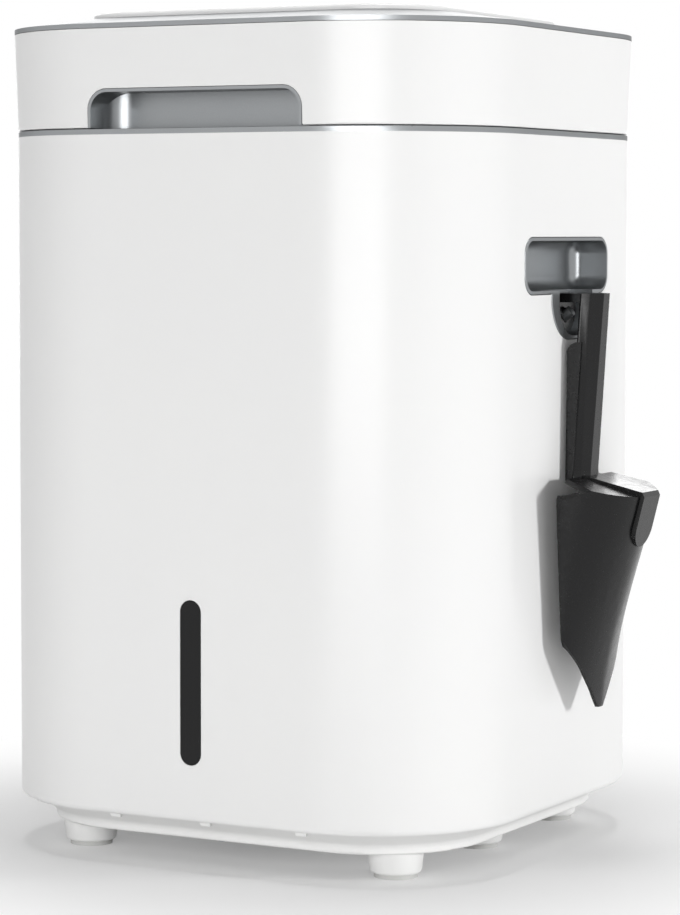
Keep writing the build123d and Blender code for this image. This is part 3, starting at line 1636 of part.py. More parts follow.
pieces = {
    "feet": feet,
    "foot_pads": foot_pads,
    "base_pan": base_pan,
    "pan_screws": pan_screws,
    "body_shell": body_shell,
    "rear_cover": rear_cover,
    "cover_screws": cover_screws,
    "seam_trim": seam_trim,
    "top_deck": top_deck,
    "sensor_window": sensor_window,
    "sensor_board": sensor_board,
    "grip_right": grip_right,
    "grip_left": grip_left,
    "tub": tub,
    "heater_pad": heater_pad,
    "mixing_shaft": mixing_shaft,
    "drive_gear": drive_gear,
    "idler_gear": idler_gear,
    "motor_pinion": motor_pinion,
    "gear_plate": gear_plate,
    "idler_axle": idler_axle,
    "gearbox": gearbox,
    "mixing_motor": mixing_motor,
    "filter_bay": filter_bay,
    "filter_drawer": filter_drawer,
    "carbon_filter": carbon_filter,
    "mesh_filter": mesh_filter,
    "fan_housing": fan_housing,
    "fan_rotor": fan_rotor,
    "exhaust_duct": exhaust_duct,
    "main_board": main_board,
    "power_supply": power_supply,
    "mains_inlet": mains_inlet,
    "switch_housing": switch_housing,
    "rocker": rocker,
    "lid_shell": lid_shell,
    "lid_trim": lid_trim,
    "top_plate": top_plate,
    "control_panel": control_panel,
    "panel_board": panel_board,
    "lid_grip": lid_grip,
    "lid_liner": lid_liner,
    "lid_gasket": lid_gasket,
    "hinge_housing": hinge_housing,
    "lid_drive": lid_drive,
    "scoop": scoop,
}
pieces.update(supports)
pieces.update(paddles)
pieces.update(buttons)
pieces.update(arms)

os.makedirs("parts", exist_ok=True)
for name, piece in pieces.items():
    piece.part.label = name
    export_step(piece.part, f"parts/{name}.step")
print(len(pieces), "pieces")
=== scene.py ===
# %% [markdown]
# # An electric food waste composter, dressed for the eye
# The solids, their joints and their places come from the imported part. This file gives each
# of them its finish, models the small things that only the eye needs, and sets the light
# and the camera. Everything is in metres, with +Z up and the front facing -Y.

# %% Load the frame
import json
from math import cos, radians, sin

import bpy
from mathutils import Matrix, Vector

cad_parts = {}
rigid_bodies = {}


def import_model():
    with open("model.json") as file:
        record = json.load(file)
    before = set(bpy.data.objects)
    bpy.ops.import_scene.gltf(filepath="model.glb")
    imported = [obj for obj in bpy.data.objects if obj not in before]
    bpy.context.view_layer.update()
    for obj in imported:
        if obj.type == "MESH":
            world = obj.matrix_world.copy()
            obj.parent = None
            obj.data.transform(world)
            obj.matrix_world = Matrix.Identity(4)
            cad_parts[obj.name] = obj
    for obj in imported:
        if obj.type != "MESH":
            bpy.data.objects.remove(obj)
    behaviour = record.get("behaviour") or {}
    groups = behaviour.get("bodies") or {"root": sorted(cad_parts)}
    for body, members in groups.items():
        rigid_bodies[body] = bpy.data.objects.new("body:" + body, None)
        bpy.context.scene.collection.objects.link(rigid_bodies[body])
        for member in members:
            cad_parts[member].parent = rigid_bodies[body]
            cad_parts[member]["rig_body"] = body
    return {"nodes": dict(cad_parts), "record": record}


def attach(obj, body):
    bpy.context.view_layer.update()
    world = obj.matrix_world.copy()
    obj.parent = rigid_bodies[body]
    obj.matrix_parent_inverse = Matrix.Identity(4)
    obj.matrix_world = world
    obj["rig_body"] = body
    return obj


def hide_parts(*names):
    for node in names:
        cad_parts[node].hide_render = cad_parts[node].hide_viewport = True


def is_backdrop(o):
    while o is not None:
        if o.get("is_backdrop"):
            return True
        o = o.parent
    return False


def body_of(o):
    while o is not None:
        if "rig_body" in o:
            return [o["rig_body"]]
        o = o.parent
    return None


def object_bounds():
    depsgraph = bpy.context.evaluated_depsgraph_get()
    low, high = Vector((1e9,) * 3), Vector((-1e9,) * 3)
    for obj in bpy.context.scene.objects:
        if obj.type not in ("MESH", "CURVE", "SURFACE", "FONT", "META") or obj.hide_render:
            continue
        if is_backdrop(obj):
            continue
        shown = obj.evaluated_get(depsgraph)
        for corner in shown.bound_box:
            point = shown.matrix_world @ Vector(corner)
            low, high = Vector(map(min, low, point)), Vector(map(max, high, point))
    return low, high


MM = 0.001

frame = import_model()
nodes = frame["nodes"]
cad_low, cad_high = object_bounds()
print("nodes:", len(nodes), "size in mm:", [round(v / MM, 1) for v in cad_high - cad_low])

# %% [markdown]
# ## Two helpers for materials
# Colours are written as they look on a screen, in sRGB, and Blender works in linear light,
# so one function turns them. Another adds a shader node with its settings and its links,
# which keeps each recipe below short enough to read at a glance.


# %% Colour and node helpers
def colour(code):
    """An sRGB hex colour such as "E8E6DF" as linear red, green, blue and alpha."""
    channels = [int(code[i : i + 2], 16) / 255 for i in (0, 2, 4)]
    linear = [c / 12.92 if c <= 0.04045 else ((c + 0.055) / 1.055) ** 2.4 for c in channels]
    return (*linear, 1.0)


def node(tree, kind, inputs=None, **settings):
    """Adds a shader node. A socket given as an input is linked, and a value is set."""
    made = tree.nodes.new(kind)
    for setting, value in settings.items():
        setattr(made, setting, value)
    for socket, value in (inputs or {}).items():
        if isinstance(value, bpy.types.NodeSocket):
            tree.links.new(value, made.inputs[socket])
        else:
            made.inputs[socket].default_value = value
    return made


print("half grey on screen is", round(colour("808080")[0], 3), "in linear light")


# %% [markdown]
# ## One recipe for most finishes
# Almost nothing here has a pattern. What tells moulded plastic from rubber or plated steel
# is how bright it is, how much it shines, and a grain too fine to notice by itself. So one
# recipe lets colour and gloss drift a little over the surface and adds a fine relief. Each
# finish gives it real sizes: the grain in metres and the depth of the relief in metres.


# %% The recipe
NOISE_LOW, NOISE_HIGH = 0.15, 0.85  # nearly all of a noise texture's values lie between


def finish(name, sockets, colours, roughness, grains, depth, stretch=None):
    """A surface whose colour and gloss drift between two values, under a fine relief.

    grains are the sizes of the colour's spots, of the gloss's spots and of the relief, in
    metres. stretch draws all three out along each axis whose factor is below 1.
    """
    material = bpy.data.materials.new(name)
    material.use_nodes = True
    tree = material.node_tree
    shader = tree.nodes["Principled BSDF"]
    for socket, value in sockets.items():
        shader.inputs[socket].default_value = value
    place = node(tree, "ShaderNodeTexCoord").outputs["Object"]
    if stretch:
        place = node(tree, "ShaderNodeMapping", {"Vector": place, "Scale": stretch}).outputs[0]
    spots, wear, grit = (
        node(tree, "ShaderNodeTexNoise", {"Vector": place, "Scale": 1 / grain}).outputs["Fac"]
        for grain in grains
    )
    tint = node(
        tree,
        "ShaderNodeMixRGB",
        {"Fac": spots, "Color1": colour(colours[0]), "Color2": colour(colours[1])},
    )
    gloss = node(
        tree,
        "ShaderNodeMapRange",
        {
            "Value": wear,
            "From Min": NOISE_LOW,
            "From Max": NOISE_HIGH,
            "To Min": roughness[0],
            "To Max": roughness[1],
        },
    )
    bump = node(tree, "ShaderNodeBump", {"Height": grit, "Distance": depth})
    tree.links.new(tint.outputs["Color"], shader.inputs["Base Color"])
    tree.links.new(gloss.outputs["Result"], shader.inputs["Roughness"])
    tree.links.new(bump.outputs["Normal"], shader.inputs["Normal"])
    return material


# %% [markdown]
# ## White mouldings
# The wrap and the lid are ABS from a polished steel tool, so they are glossy, with an
# almost invisible long wave from shrinkage. The pan, the feet and the rear cover come from
# a spark-eroded tool: the same white with a satin grit, drawn at 0.7 mm so that it shows.

# %% White plastics
polished_white = finish(
    "polished_white_abs",
    {"IOR": 1.53},
    ("EEEEEE", "F0F0EF"),
    (0.3, 0.31),
    (0.12, 0.05, 0.004),
    0.0000015,
)
textured_white = finish(
    "spark_eroded_white_abs",
    {"IOR": 1.53},
    ("EEEEED", "F0F0EF"),
    (0.4, 0.48),
    (0.05, 0.004, 0.0007),
    0.00003,
)
white_powder = finish(
    "white_powder_coat",
    {"IOR": 1.5},
    ("E6E6E5", "EAEAE8"),
    (0.3, 0.42),
    (0.03, 0.005, 0.001),
    0.00003,
)
print("whites:", polished_white.name, textured_white.name, white_powder.name)

# %% [markdown]
# ## Silver lacquer
# The strip under the lid, the lid's sloping trim and the hand recesses are ABS sprayed with
# aluminium flake under a clear coat. Flakes lie nearly flat, so the paint is metallic but
# softer than polished metal, and a part of its light comes back from the binder between
# them. The flakes are drawn at 0.4 mm so that they show up close.

# %% Silver
silver = finish(
    "silver_lacquer_on_abs",
    {"Metallic": 0.8, "Specular Tint": colour("ACACAC")},
    ("939597", "9DA0A2"),
    (0.26, 0.34),
    (0.0004, 0.02, 0.0004),
    0.000004,
)
print("silver:", silver.name)

# %% [markdown]
# ## Black and dark plastics
# The scoop is black polypropylene with a soft shine, scuffed by use. The window is
# smoked acrylic over a dark cavity, and the control panel is glossy black ABS. The inlet,
# the switch and the fan are glass-filled nylon, which is duller.

# %% Blacks
scoop_black = finish(
    "scuffed_black_polypropylene",
    {"IOR": 1.49, "Specular IOR Level": 0.32},
    ("070708", "0C0C0D"),
    (0.2, 0.32),
    (0.03, 0.004, 0.0009),
    0.00001,
)
window_smoke = finish(
    "smoked_acrylic",
    {"IOR": 1.49, "Specular IOR Level": 0.3},
    ("060607", "0A0A0B"),
    (0.08, 0.14),
    (0.02, 0.006, 0.02),
    0.000005,
)
panel_black = finish(
    "glossy_black_abs",
    {"IOR": 1.53},
    ("0D0D0E", "131314"),
    (0.08, 0.14),
    (0.04, 0.01, 0.02),
    0.00001,
)
nylon_black = finish(
    "glass_filled_black_nylon",
    {"IOR": 1.53},
    ("1A1A1B", "242425"),
    (0.45, 0.6),
    (0.01, 0.003, 0.0007),
    0.00004,
)
print("blacks:", scoop_black.name, window_smoke.name, panel_black.name, nylon_black.name)

# %% [markdown]
# ## Grey plastics and nylon
# What shows when the lid or the drawer is open is plain: grey polypropylene for the deck,
# the filter bay and the duct, a lighter one for the lid's liner, natural nylon for the
# gears, and satin caps on the three buttons.

# %% Greys
deck_grey = finish(
    "grey_polypropylene",
    {"IOR": 1.49},
    ("6E7173", "767A7C"),
    (0.4, 0.52),
    (0.04, 0.006, 0.0007),
    0.00003,
)
liner_grey = finish(
    "light_grey_polypropylene",
    {"IOR": 1.49},
    ("B0B3B5", "B9BCBE"),
    (0.36, 0.48),
    (0.04, 0.006, 0.0007),
    0.00003,
)
gear_nylon = finish(
    "natural_nylon",
    {"IOR": 1.53},
    ("DAD5C4", "E2DDCD"),
    (0.35, 0.45),
    (0.01, 0.004, 0.0008),
    0.00002,
)
cap_grey = finish(
    "satin_grey_cap",
    {"IOR": 1.53},
    ("3A3B3D", "404143"),
    (0.3, 0.4),
    (0.004, 0.002, 0.0006),
    0.00001,
)
print("greys:", deck_grey.name, liner_grey.name, gear_nylon.name, cap_grey.name)

# %% [markdown]
# ## Metals of the mixer
# The paddles are stainless steel, brushed lengthwise, and the shaft is ground steel in
# sintered bronze bushes. Each metal keeps the default IOR and differs in colour, in gloss
# and in the direction of its marks, which stretch draws out. Ground steel is the brightest,
# and the bronze is dull, because it is pressed from powder and full of pores.

# %% Paddles, shaft and bushes
METAL = {"Metallic": 1.0}
ALONG_X = (0.06, 1.0, 1.0)  # brushed lengthwise
ROUND_X = (1.0, 0.1, 0.1)  # ground while turning about X

paddle_steel = finish(
    "satin_stainless_steel",
    METAL,
    ("A4A5A7", "BFC0C1"),
    (0.24, 0.36),
    (0.0012, 0.0012, 0.0012),
    0.000004,
    ALONG_X,
)
shaft_steel = finish(
    "ground_steel",
    METAL,
    ("B4B5B7", "CBCCCD"),
    (0.16, 0.26),
    (0.0008, 0.0008, 0.0008),
    0.000003,
    ROUND_X,
)
bush_bronze = finish(
    "sintered_bronze",
    METAL,
    ("A77A45", "BD9159"),
    (0.4, 0.55),
    (0.0008, 0.0008, 0.0008),
    0.00002,
)
print("mixer:", paddle_steel.name, shaft_steel.name, bush_bronze.name)

# %% [markdown]
# ## Sheet, castings and the motor
# The gear plate and the screws are zinc-plated, which leaves a bluish, cloudy gloss. The
# gearbox and the bearing housings are die-cast aluminium, rough and matt. The power
# supply's case is folded from aluminium, the filter's mesh is perforated stainless steel,
# and the motor wears a thin black paint.

# %% Sheet, castings and motor paint
ALONG_Z = (1.0, 1.0, 0.06)  # rolled upright

zinc_sheet = finish(
    "zinc_plated_steel",
    METAL,
    ("A9ADB3", "BCC2C9"),
    (0.26, 0.4),
    (0.004, 0.004, 0.001),
    0.000004,
    ALONG_Z,
)
cast_metal = finish(
    "die_cast_aluminium",
    METAL,
    ("8E9092", "A6A8AA"),
    (0.45, 0.6),
    (0.006, 0.003, 0.0012),
    0.00006,
)
folded_sheet = finish(
    "folded_aluminium",
    METAL,
    ("AFB1B3", "C2C4C6"),
    (0.3, 0.42),
    (0.001, 0.001, 0.001),
    0.000003,
    ALONG_X,
)
mesh_steel = finish(
    "perforated_stainless_steel",
    METAL,
    ("9C9D9F", "B3B4B5"),
    (0.3, 0.4),
    (0.001, 0.001, 0.001),
    0.000003,
    ALONG_X,
)
motor_paint = finish(
    "black_motor_paint",
    {"IOR": 1.5},
    ("19191A", "222223"),
    (0.35, 0.5),
    (0.02, 0.004, 0.001),
    0.00003,
)
print("sheet:", zinc_sheet.name, folded_sheet.name, mesh_steel.name)
print("castings and paint:", cast_metal.name, motor_paint.name)

# %% [markdown]
# ## Rubber, silicone and carbon
# Foot pads are hard rubber, the lid's gasket is silicone, the shaft seals are nitrile, and
# the heater under the tub is a red silicone mat. The filter is pressed carbon, whose grains
# are 2 mm across, so its relief is deep and its gloss uneven.

# %% Rubbers and carbon
pad_rubber = finish(
    "hard_pale_rubber",
    {"IOR": 1.52},
    ("C6C6C4", "D0D0CE"),
    (0.75, 0.9),
    (0.004, 0.002, 0.0008),
    0.00005,
)
gasket_silicone = finish(
    "grey_silicone",
    {"IOR": 1.43},
    ("8C8F91", "989B9D"),
    (0.45, 0.6),
    (0.004, 0.002, 0.0008),
    0.00003,
)
seal_nitrile = finish(
    "black_nitrile",
    {"IOR": 1.52},
    ("151515", "1E1E1E"),
    (0.5, 0.65),
    (0.004, 0.002, 0.0008),
    0.00003,
)
heater_mat = finish(
    "red_silicone_mat",
    {"IOR": 1.43},
    ("96301A", "A83C20"),
    (0.5, 0.62),
    (0.004, 0.002, 0.0015),
    0.00005,
)
carbon_grain = finish(
    "pressed_carbon",
    {"IOR": 1.6},
    ("101010", "2B2B2B"),
    (0.55, 0.85),
    (0.002, 0.002, 0.002),
    0.0006,
)
print("soft:", pad_rubber.name, gasket_silicone.name, seal_nitrile.name, heater_mat.name)
print("filter:", carbon_grain.name)

# %% [markdown]
# ## Printing and lenses
# The signs on the buttons and the switch are a matt white fill, and the indicator lights
# are small domes of milky acrylic, which look pale green while they are off.

# %% Fill and lens
sign_white = finish(
    "white_sign_fill",
    {"IOR": 1.5},
    ("D6D6D4", "DEDEDC"),
    (0.45, 0.55),
    (0.004, 0.002, 0.0006),
    0.000005,
)
lens_green = finish(
    "milky_green_acrylic",
    {"IOR": 1.49},
    ("B9D6BE", "C4DEC8"),
    (0.1, 0.16),
    (0.002, 0.001, 0.002),
    0.000002,
)
print("fill and lens:", sign_white.name, lens_green.name)

# %% [markdown]
# ## The tub's non-stick coat
# Two finishes have a pattern on top of the recipe. The tub is cast aluminium under a dark
# non-stick coat with pale mineral flecks about 1 mm across. A Voronoi texture scatters its
# cell centres evenly but not in rows, so a dot at each centre looks like a fleck.

# %% Flecked coat
tub_coat = finish(
    "flecked_non_stick_coat",
    {"IOR": 1.38},
    ("2A2A2C", "323234"),
    (0.3, 0.42),
    (0.01, 0.006, 0.0015),
    0.00002,
)
tree = tub_coat.node_tree
shader = tree.nodes["Principled BSDF"]
place = node(tree, "ShaderNodeTexCoord").outputs["Object"]
FLECK_PITCH = 3.0 * MM
FLECK_CORE, FLECK_EDGE = 0.14, 0.2  # radii, as shares of the pitch
cells = node(tree, "ShaderNodeTexVoronoi", {"Vector": place, "Scale": 1 / FLECK_PITCH})
flecks = node(
    tree,
    "ShaderNodeMapRange",
    {
        "Value": cells.outputs["Distance"],
        "From Min": FLECK_CORE,
        "From Max": FLECK_EDGE,
        "To Min": 1.0,
        "To Max": 0.0,
    },
)
coat = shader.inputs["Base Color"].links[0].from_socket
flecked = node(
    tree,
    "ShaderNodeMixRGB",
    {"Fac": flecks.outputs["Result"], "Color1": coat, "Color2": colour("8E8E8F")},
)
tree.links.new(flecked.outputs["Color"], shader.inputs["Base Color"])
print("tub:", tub_coat.name, "with flecks every", FLECK_PITCH / MM, "mm")

# %% [markdown]
# ## The circuit boards
# They are glass epoxy under green lacquer, and the copper tracks show through it as lighter
# lines. A brick texture's mortar gives such lines on a 4 mm grid, coarser than the real
# ones, so that they show.

# %% Circuit boards
board_green = finish(
    "green_circuit_board",
    {"IOR": 1.5},
    ("0F4A27", "12552E"),
    (0.22, 0.34),
    (0.01, 0.004, 0.004),
    0.00001,
)
tree = board_green.node_tree
shader = tree.nodes["Principled BSDF"]
place = node(tree, "ShaderNodeTexCoord").outputs["Object"]
TRACK_PITCH = 4.0 * MM
tracks = node(
    tree,
    "ShaderNodeTexBrick",
    {
        "Vector": place,
        "Color1": colour("0F4A27"),
        "Color2": colour("14592F"),
        "Mortar": colour("3F8A58"),
        "Scale": 1 / TRACK_PITCH,
        "Mortar Size": 0.06,
    },
)
tree.links.new(tracks.outputs["Color"], shader.inputs["Base Color"])
print("boards:", board_green.name)

# %% [markdown]
# ## Which finish goes on which node
# The record names a finish slot for each solid, as a bill of materials does. One table
# turns slots into the materials above, and a loop dresses every solid, so none is missed.

# %% Dress the nodes
finishes = {
    "white_gloss": polished_white,
    "white_moulded": textured_white,
    "arm_white": white_powder,
    "silver_trim": silver,
    "smoked_window": window_smoke,
    "black_scoop": scoop_black,
    "black_panel": panel_black,
    "button": cap_grey,
    "black_moulded": nylon_black,
    "grey_moulded": deck_grey,
    "liner_grey": liner_grey,
    "gear_nylon": gear_nylon,
    "pad_rubber": pad_rubber,
    "gasket": gasket_silicone,
    "seal": seal_nitrile,
    "heater": heater_mat,
    "tub_coated": tub_coat,
    "paddle_steel": paddle_steel,
    "shaft_steel": shaft_steel,
    "bush_bronze": bush_bronze,
    "housing_cast": cast_metal,
    "plate_zinc": zinc_sheet,
    "screw_zinc": zinc_sheet,
    "motor_can": motor_paint,
    "mesh_steel": mesh_steel,
    "supply_case": folded_sheet,
    "circuit_board": board_green,
    "carbon": carbon_grain,
}
slot_of = {part["node"]: part["material_slot"] for part in frame["record"]["subparts"]}
for name, thing in nodes.items():
    thing.data.materials.clear()
    thing.data.materials.append(finishes[slot_of[name]])
print("dressed:", len(nodes), "of", len(slot_of))

# %% [markdown]
# ## Smooth shading for the round mouldings
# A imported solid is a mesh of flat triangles, and on a glossy corner 84 mm in radius the
# facets would show. A copy loses the flat normals it was stored with, has its loose
# triangles joined, and is shaded smooth up to an angle. Weighting the normals by face area
# then keeps its flat walls flat.


# %% A smooth copy
ROUND_ANGLE = 32.0  # degrees between two faces of one curve, at most
WELD = 0.002 * MM  # corners nearer than this are one


def pick_only(thing):
    """Selects one object and makes it active."""
    bpy.ops.object.select_all(action="DESELECT")
    thing.select_set(True)
    bpy.context.view_layer.objects.active = thing


def smooth(piece):
    """Shades a piece smooth where its faces meet at a small angle."""
    pick_only(piece)
    bpy.ops.mesh.customdata_custom_splitnormals_clear()
    bpy.ops.object.shade_smooth_by_angle(angle=radians(ROUND_ANGLE))
    weighted = piece.modifiers.new("flat_walls_stay_flat", "WEIGHTED_NORMAL")
    weighted.keep_sharp = True
    bpy.ops.object.modifier_apply(modifier=weighted.name)


def smooth_copy(name):
    """Stands for a node with the same shape, joined and shaded smooth."""
    piece = bpy.data.objects.new(name + "_smooth", nodes[name].data.copy())
    bpy.context.collection.objects.link(piece)
    pick_only(piece)
    bpy.ops.mesh.customdata_custom_splitnormals_clear()
    bpy.ops.object.mode_set(mode="EDIT")
    bpy.ops.mesh.select_all(action="SELECT")
    bpy.ops.mesh.remove_doubles(threshold=WELD)
    bpy.ops.object.mode_set(mode="OBJECT")
    smooth(piece)
    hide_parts(name)
    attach(piece, body_of(nodes[name])[0])
    return piece


# %% Smooth the round nodes
flat_nodes = ("gear_plate", "mesh_filter", "main_board", "panel_board", "sensor_board")
smoothed = {name: smooth_copy(name) for name in nodes if name not in flat_nodes}
faces = sum(len(piece.data.polygons) for piece in smoothed.values())
print("smooth copies:", len(smoothed), "faces:", faces)

# %% [markdown]
# ## Helpers for the small pieces
# Each small piece starts as a primitive at its place, is shaped in edit mode, and then
# settles: its place goes into its mesh, its normals are turned outwards, and it takes a
# finish and a body to ride on. Faces are picked by where they are, which survives changes
# better than their numbers do.


# %% Picking and settling
def pick_faces(piece, wanted):
    """In edit mode, selects the faces whose centre and normal pass a test, in metres."""
    bpy.ops.mesh.select_all(action="DESELECT")
    bpy.ops.object.mode_set(mode="OBJECT")
    for face in piece.data.polygons:
        face.select = wanted(piece.matrix_world @ face.center, face.normal)
    bpy.ops.object.mode_set(mode="EDIT")


def pick_edges(piece, wanted):
    """In edit mode, selects the edges whose two ends pass a test."""
    bpy.ops.mesh.select_all(action="DESELECT")
    bpy.ops.mesh.select_mode(type="EDGE")
    bpy.ops.object.mode_set(mode="OBJECT")
    places = [piece.matrix_world @ corner.co for corner in piece.data.vertices]
    for edge in piece.data.edges:
        edge.select = wanted(*(places[end] for end in edge.vertices))
    bpy.ops.object.mode_set(mode="EDIT")


def start_shaping(piece):
    """Puts a new primitive's place and size into its mesh and enters edit mode."""
    bpy.ops.object.transform_apply(location=True, rotation=True, scale=True)
    bpy.ops.object.mode_set(mode="EDIT")
    return piece


def settle(piece, name, material, body):
    """Puts a shaped piece's place into its mesh, dresses it and sets what it rides on."""
    if bpy.context.mode != "OBJECT":
        bpy.ops.object.mode_set(mode="OBJECT")
    pick_only(piece)
    bpy.ops.object.transform_apply(location=True, rotation=True, scale=True)
    bpy.ops.object.mode_set(mode="EDIT")
    bpy.ops.mesh.select_all(action="SELECT")
    bpy.ops.mesh.remove_doubles(threshold=0.001 * MM)
    bpy.ops.mesh.normals_make_consistent(inside=False)
    bpy.ops.object.mode_set(mode="OBJECT")
    piece.name = name
    piece.data.materials.clear()
    piece.data.materials.append(material)
    smooth(piece)
    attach(piece, body)
    return piece


# %% [markdown]
# ## The back of the scoop's handle
# The handle is a deep channel, and its back reaches almost to the cabinet's side. Under the
# hook it is cut away in a curve, which leaves room for the lobe it hangs from. A block is
# tapered to the lean of the handle, and then its wall-side edges are rounded by bevels.

# %% Handle back
BACK_X = 154.6 * MM
BACK_LOW, BACK_TOP = 212.0 * MM, 289.4 * MM
BACK_HALF_LOW, BACK_HALF_TOP = 17.6 * MM, 14.6 * MM
BACK_FRONT_LOW, BACK_FRONT_TOP = 159.5 * MM, 163.6 * MM
BACK_CURVE, BACK_EDGE = 6.5 * MM, 2.6 * MM
SCOOP_Y = 11.5 * MM
NEAR = 0.1 * MM  # as far as a picked corner may lie from its place

bpy.ops.object.select_all(action="DESELECT")
middle = ((BACK_X + BACK_FRONT_LOW) / 2, SCOOP_Y, (BACK_LOW + BACK_TOP) / 2)
size = (BACK_FRONT_LOW - BACK_X, 2 * BACK_HALF_LOW, BACK_TOP - BACK_LOW)
bpy.ops.mesh.primitive_cube_add(size=1, location=middle, scale=size)
back = start_shaping(bpy.context.object)
# the top is narrower than the bottom, and its front leans out with the handle
pick_faces(back, lambda centre, normal: normal.z > 0.9)
bpy.ops.transform.resize(
    value=(1, BACK_HALF_TOP / BACK_HALF_LOW, 1), center_override=(BACK_X, SCOOP_Y, BACK_TOP)
)
pick_edges(
    back,
    lambda a, b: min(a.z, b.z) > BACK_TOP - NEAR and min(a.x, b.x) > BACK_FRONT_LOW - NEAR,
)
bpy.ops.transform.translate(value=(BACK_FRONT_TOP - BACK_FRONT_LOW, 0, 0))
# the curve under the lobe, then the two long edges beside the wall
pick_edges(
    back,
    lambda a, b: min(a.z, b.z) > BACK_TOP - NEAR and max(a.x, b.x) < BACK_X + NEAR,
)
bpy.ops.mesh.bevel(offset=BACK_CURVE, offset_type="OFFSET", segments=8, affect="EDGES")
pick_edges(
    back,
    lambda a, b: max(a.x, b.x) < BACK_X + NEAR and abs(a.z - b.z) > BACK_CURVE,
)
bpy.ops.mesh.bevel(offset=BACK_EDGE, offset_type="OFFSET", segments=5, affect="EDGES")
handle_back = settle(back, "scoop_handle_back", scoop_black, "scoop")
print("handle back:", len(handle_back.data.polygons), "faces")

# %% [markdown]
# ## Snap tabs under the cabinet
# Three small tabs on the pan's front edge hold the wrap down. They show as short bars in
# the shadow under the front. One is modelled as a wedge whose lower face is smaller, its
# edges are broken by a bevel, and the other two are copies, each with its own mesh.


# %% Snap tabs
def copy_moved(piece, name, by):
    """A copy with its own mesh, moved by a distance in metres."""
    twin = piece.copy()
    twin.data = piece.data.copy()
    twin.name = name
    bpy.context.collection.objects.link(twin)
    twin.location = by
    pick_only(twin)
    bpy.ops.object.transform_apply(location=True, rotation=False, scale=False)
    return twin


TAB_SIZE = (7.0 * MM, 3.2 * MM, 2.4 * MM)
TAB_PLACES = (-54.0 * MM, 4.0 * MM, 64.0 * MM)
TAB_TAPER, TAB_EDGE = (0.86, 0.6, 1), 0.35 * MM
TAB_Y, TAB_Z = -143.4 * MM, 26.9 * MM

bpy.ops.object.select_all(action="DESELECT")
bpy.ops.mesh.primitive_cube_add(
    size=1, location=(TAB_PLACES[0], TAB_Y, TAB_Z), scale=TAB_SIZE
)
tab = start_shaping(bpy.context.object)
pick_faces(tab, lambda centre, normal: normal.z < -0.9)
bpy.ops.transform.resize(
    value=TAB_TAPER, center_override=(TAB_PLACES[0], TAB_Y + TAB_SIZE[1] / 2, TAB_Z)
)
bpy.ops.mesh.select_all(action="SELECT")
bpy.ops.mesh.bevel(offset=TAB_EDGE, offset_type="OFFSET", segments=2, affect="EDGES")
tab = settle(tab, "snap_tab_0", textured_white, "cabinet")
for count, place in enumerate(TAB_PLACES[1:], start=1):
    twin = copy_moved(tab, f"snap_tab_{count}", (place - TAB_PLACES[0], 0, 0))
    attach(twin, "cabinet")
print("snap tabs:", len(TAB_PLACES))

# %% [markdown]
# ## Recesses in the screw heads
# A cross recess is four short arms that narrow with depth. A grid of three by three squares
# without its corners is a cross, extruded inwards and shrunk at its end. One is made at
# each head and all are joined, so that a single boolean cuts every head of a node.


# %% Joining and cutting
def join(pieces):
    """Joins pieces into the first one."""
    pick_only(pieces[0])
    for other in pieces[1:]:
        other.select_set(True)
    bpy.ops.object.join()
    return pieces[0]


def cut(piece, cutter):
    """Cuts a cutter's shape out of a piece, and removes the cutter."""
    pick_only(piece)
    hole = piece.modifiers.new("cut", "BOOLEAN")
    hole.operation = "DIFFERENCE"
    hole.solver = "EXACT"
    hole.object = cutter
    bpy.ops.object.modifier_apply(modifier=hole.name)
    bpy.data.objects.remove(cutter)
    smooth(piece)


# %% Cross recesses
CROSS_REACH, CROSS_DEPTH = 3.6 * MM, 1.3 * MM
CROSS_START = -0.15 * MM  # a little outside the head, so that the cut is clean
CROSS_TAPER = 0.5
CORNER_REACH = 0.4 * CROSS_REACH  # only the corner squares' centres lie further out


def cross_cutter(centres, inward):
    """Tapered crosses at some places, pointing inward, joined as one cutter."""
    made = []
    for centre in centres:
        start = Vector(centre) + inward * CROSS_START
        bpy.ops.object.select_all(action="DESELECT")
        bpy.ops.mesh.primitive_grid_add(
            x_subdivisions=3,
            y_subdivisions=3,
            size=CROSS_REACH,
            location=start,
            rotation=inward.to_track_quat("Z", "Y").to_euler(),
        )
        cross = start_shaping(bpy.context.object)
        pick_faces(cross, lambda place, normal: (place - start).length > CORNER_REACH)
        bpy.ops.mesh.delete(type="FACE")
        bpy.ops.mesh.select_all(action="SELECT")
        push = inward * (CROSS_DEPTH - CROSS_START)
        bpy.ops.mesh.extrude_region_move(TRANSFORM_OT_translate={"value": push})
        bpy.ops.transform.resize(value=(CROSS_TAPER,) * 3, center_override=start + push)
        bpy.ops.mesh.select_all(action="SELECT")
        bpy.ops.mesh.normals_make_consistent(inside=False)
        bpy.ops.object.mode_set(mode="OBJECT")
        made.append(cross)
    return join(made)


PAN_SCREWS = ((0, -118), (0, 118), (-122, 0), (122, 0))  # x and y in mm
COVER_SCREWS_X, COVER_SCREWS_Z = (-55, 55), (120, 363)  # in mm
PAN_HEAD, COVER_HEAD = 13.2 * MM, 150.8 * MM  # the heads' outer faces

pan_places = [(x * MM, y * MM, PAN_HEAD) for x, y in PAN_SCREWS]
cover_places = [(x * MM, COVER_HEAD, z * MM) for x in COVER_SCREWS_X for z in COVER_SCREWS_Z]
cut(smoothed["pan_screws"], cross_cutter(pan_places, Vector((0, 0, 1))))
cut(smoothed["cover_screws"], cross_cutter(cover_places, Vector((0, -1, 0))))
print("recessed heads:", len(pan_places) + len(cover_places))

# %% [markdown]
# ## Signs on the buttons
# Each cap carries a sign let into its top: a ring with a bar for power, three bars for the
# mode, and an arrow over a bar for the lid. They are built from three thin solids, which
# the next cells define. The first is a bar: a block whose upright edges are bevelled, so
# that it looks like the stroke of a pen.

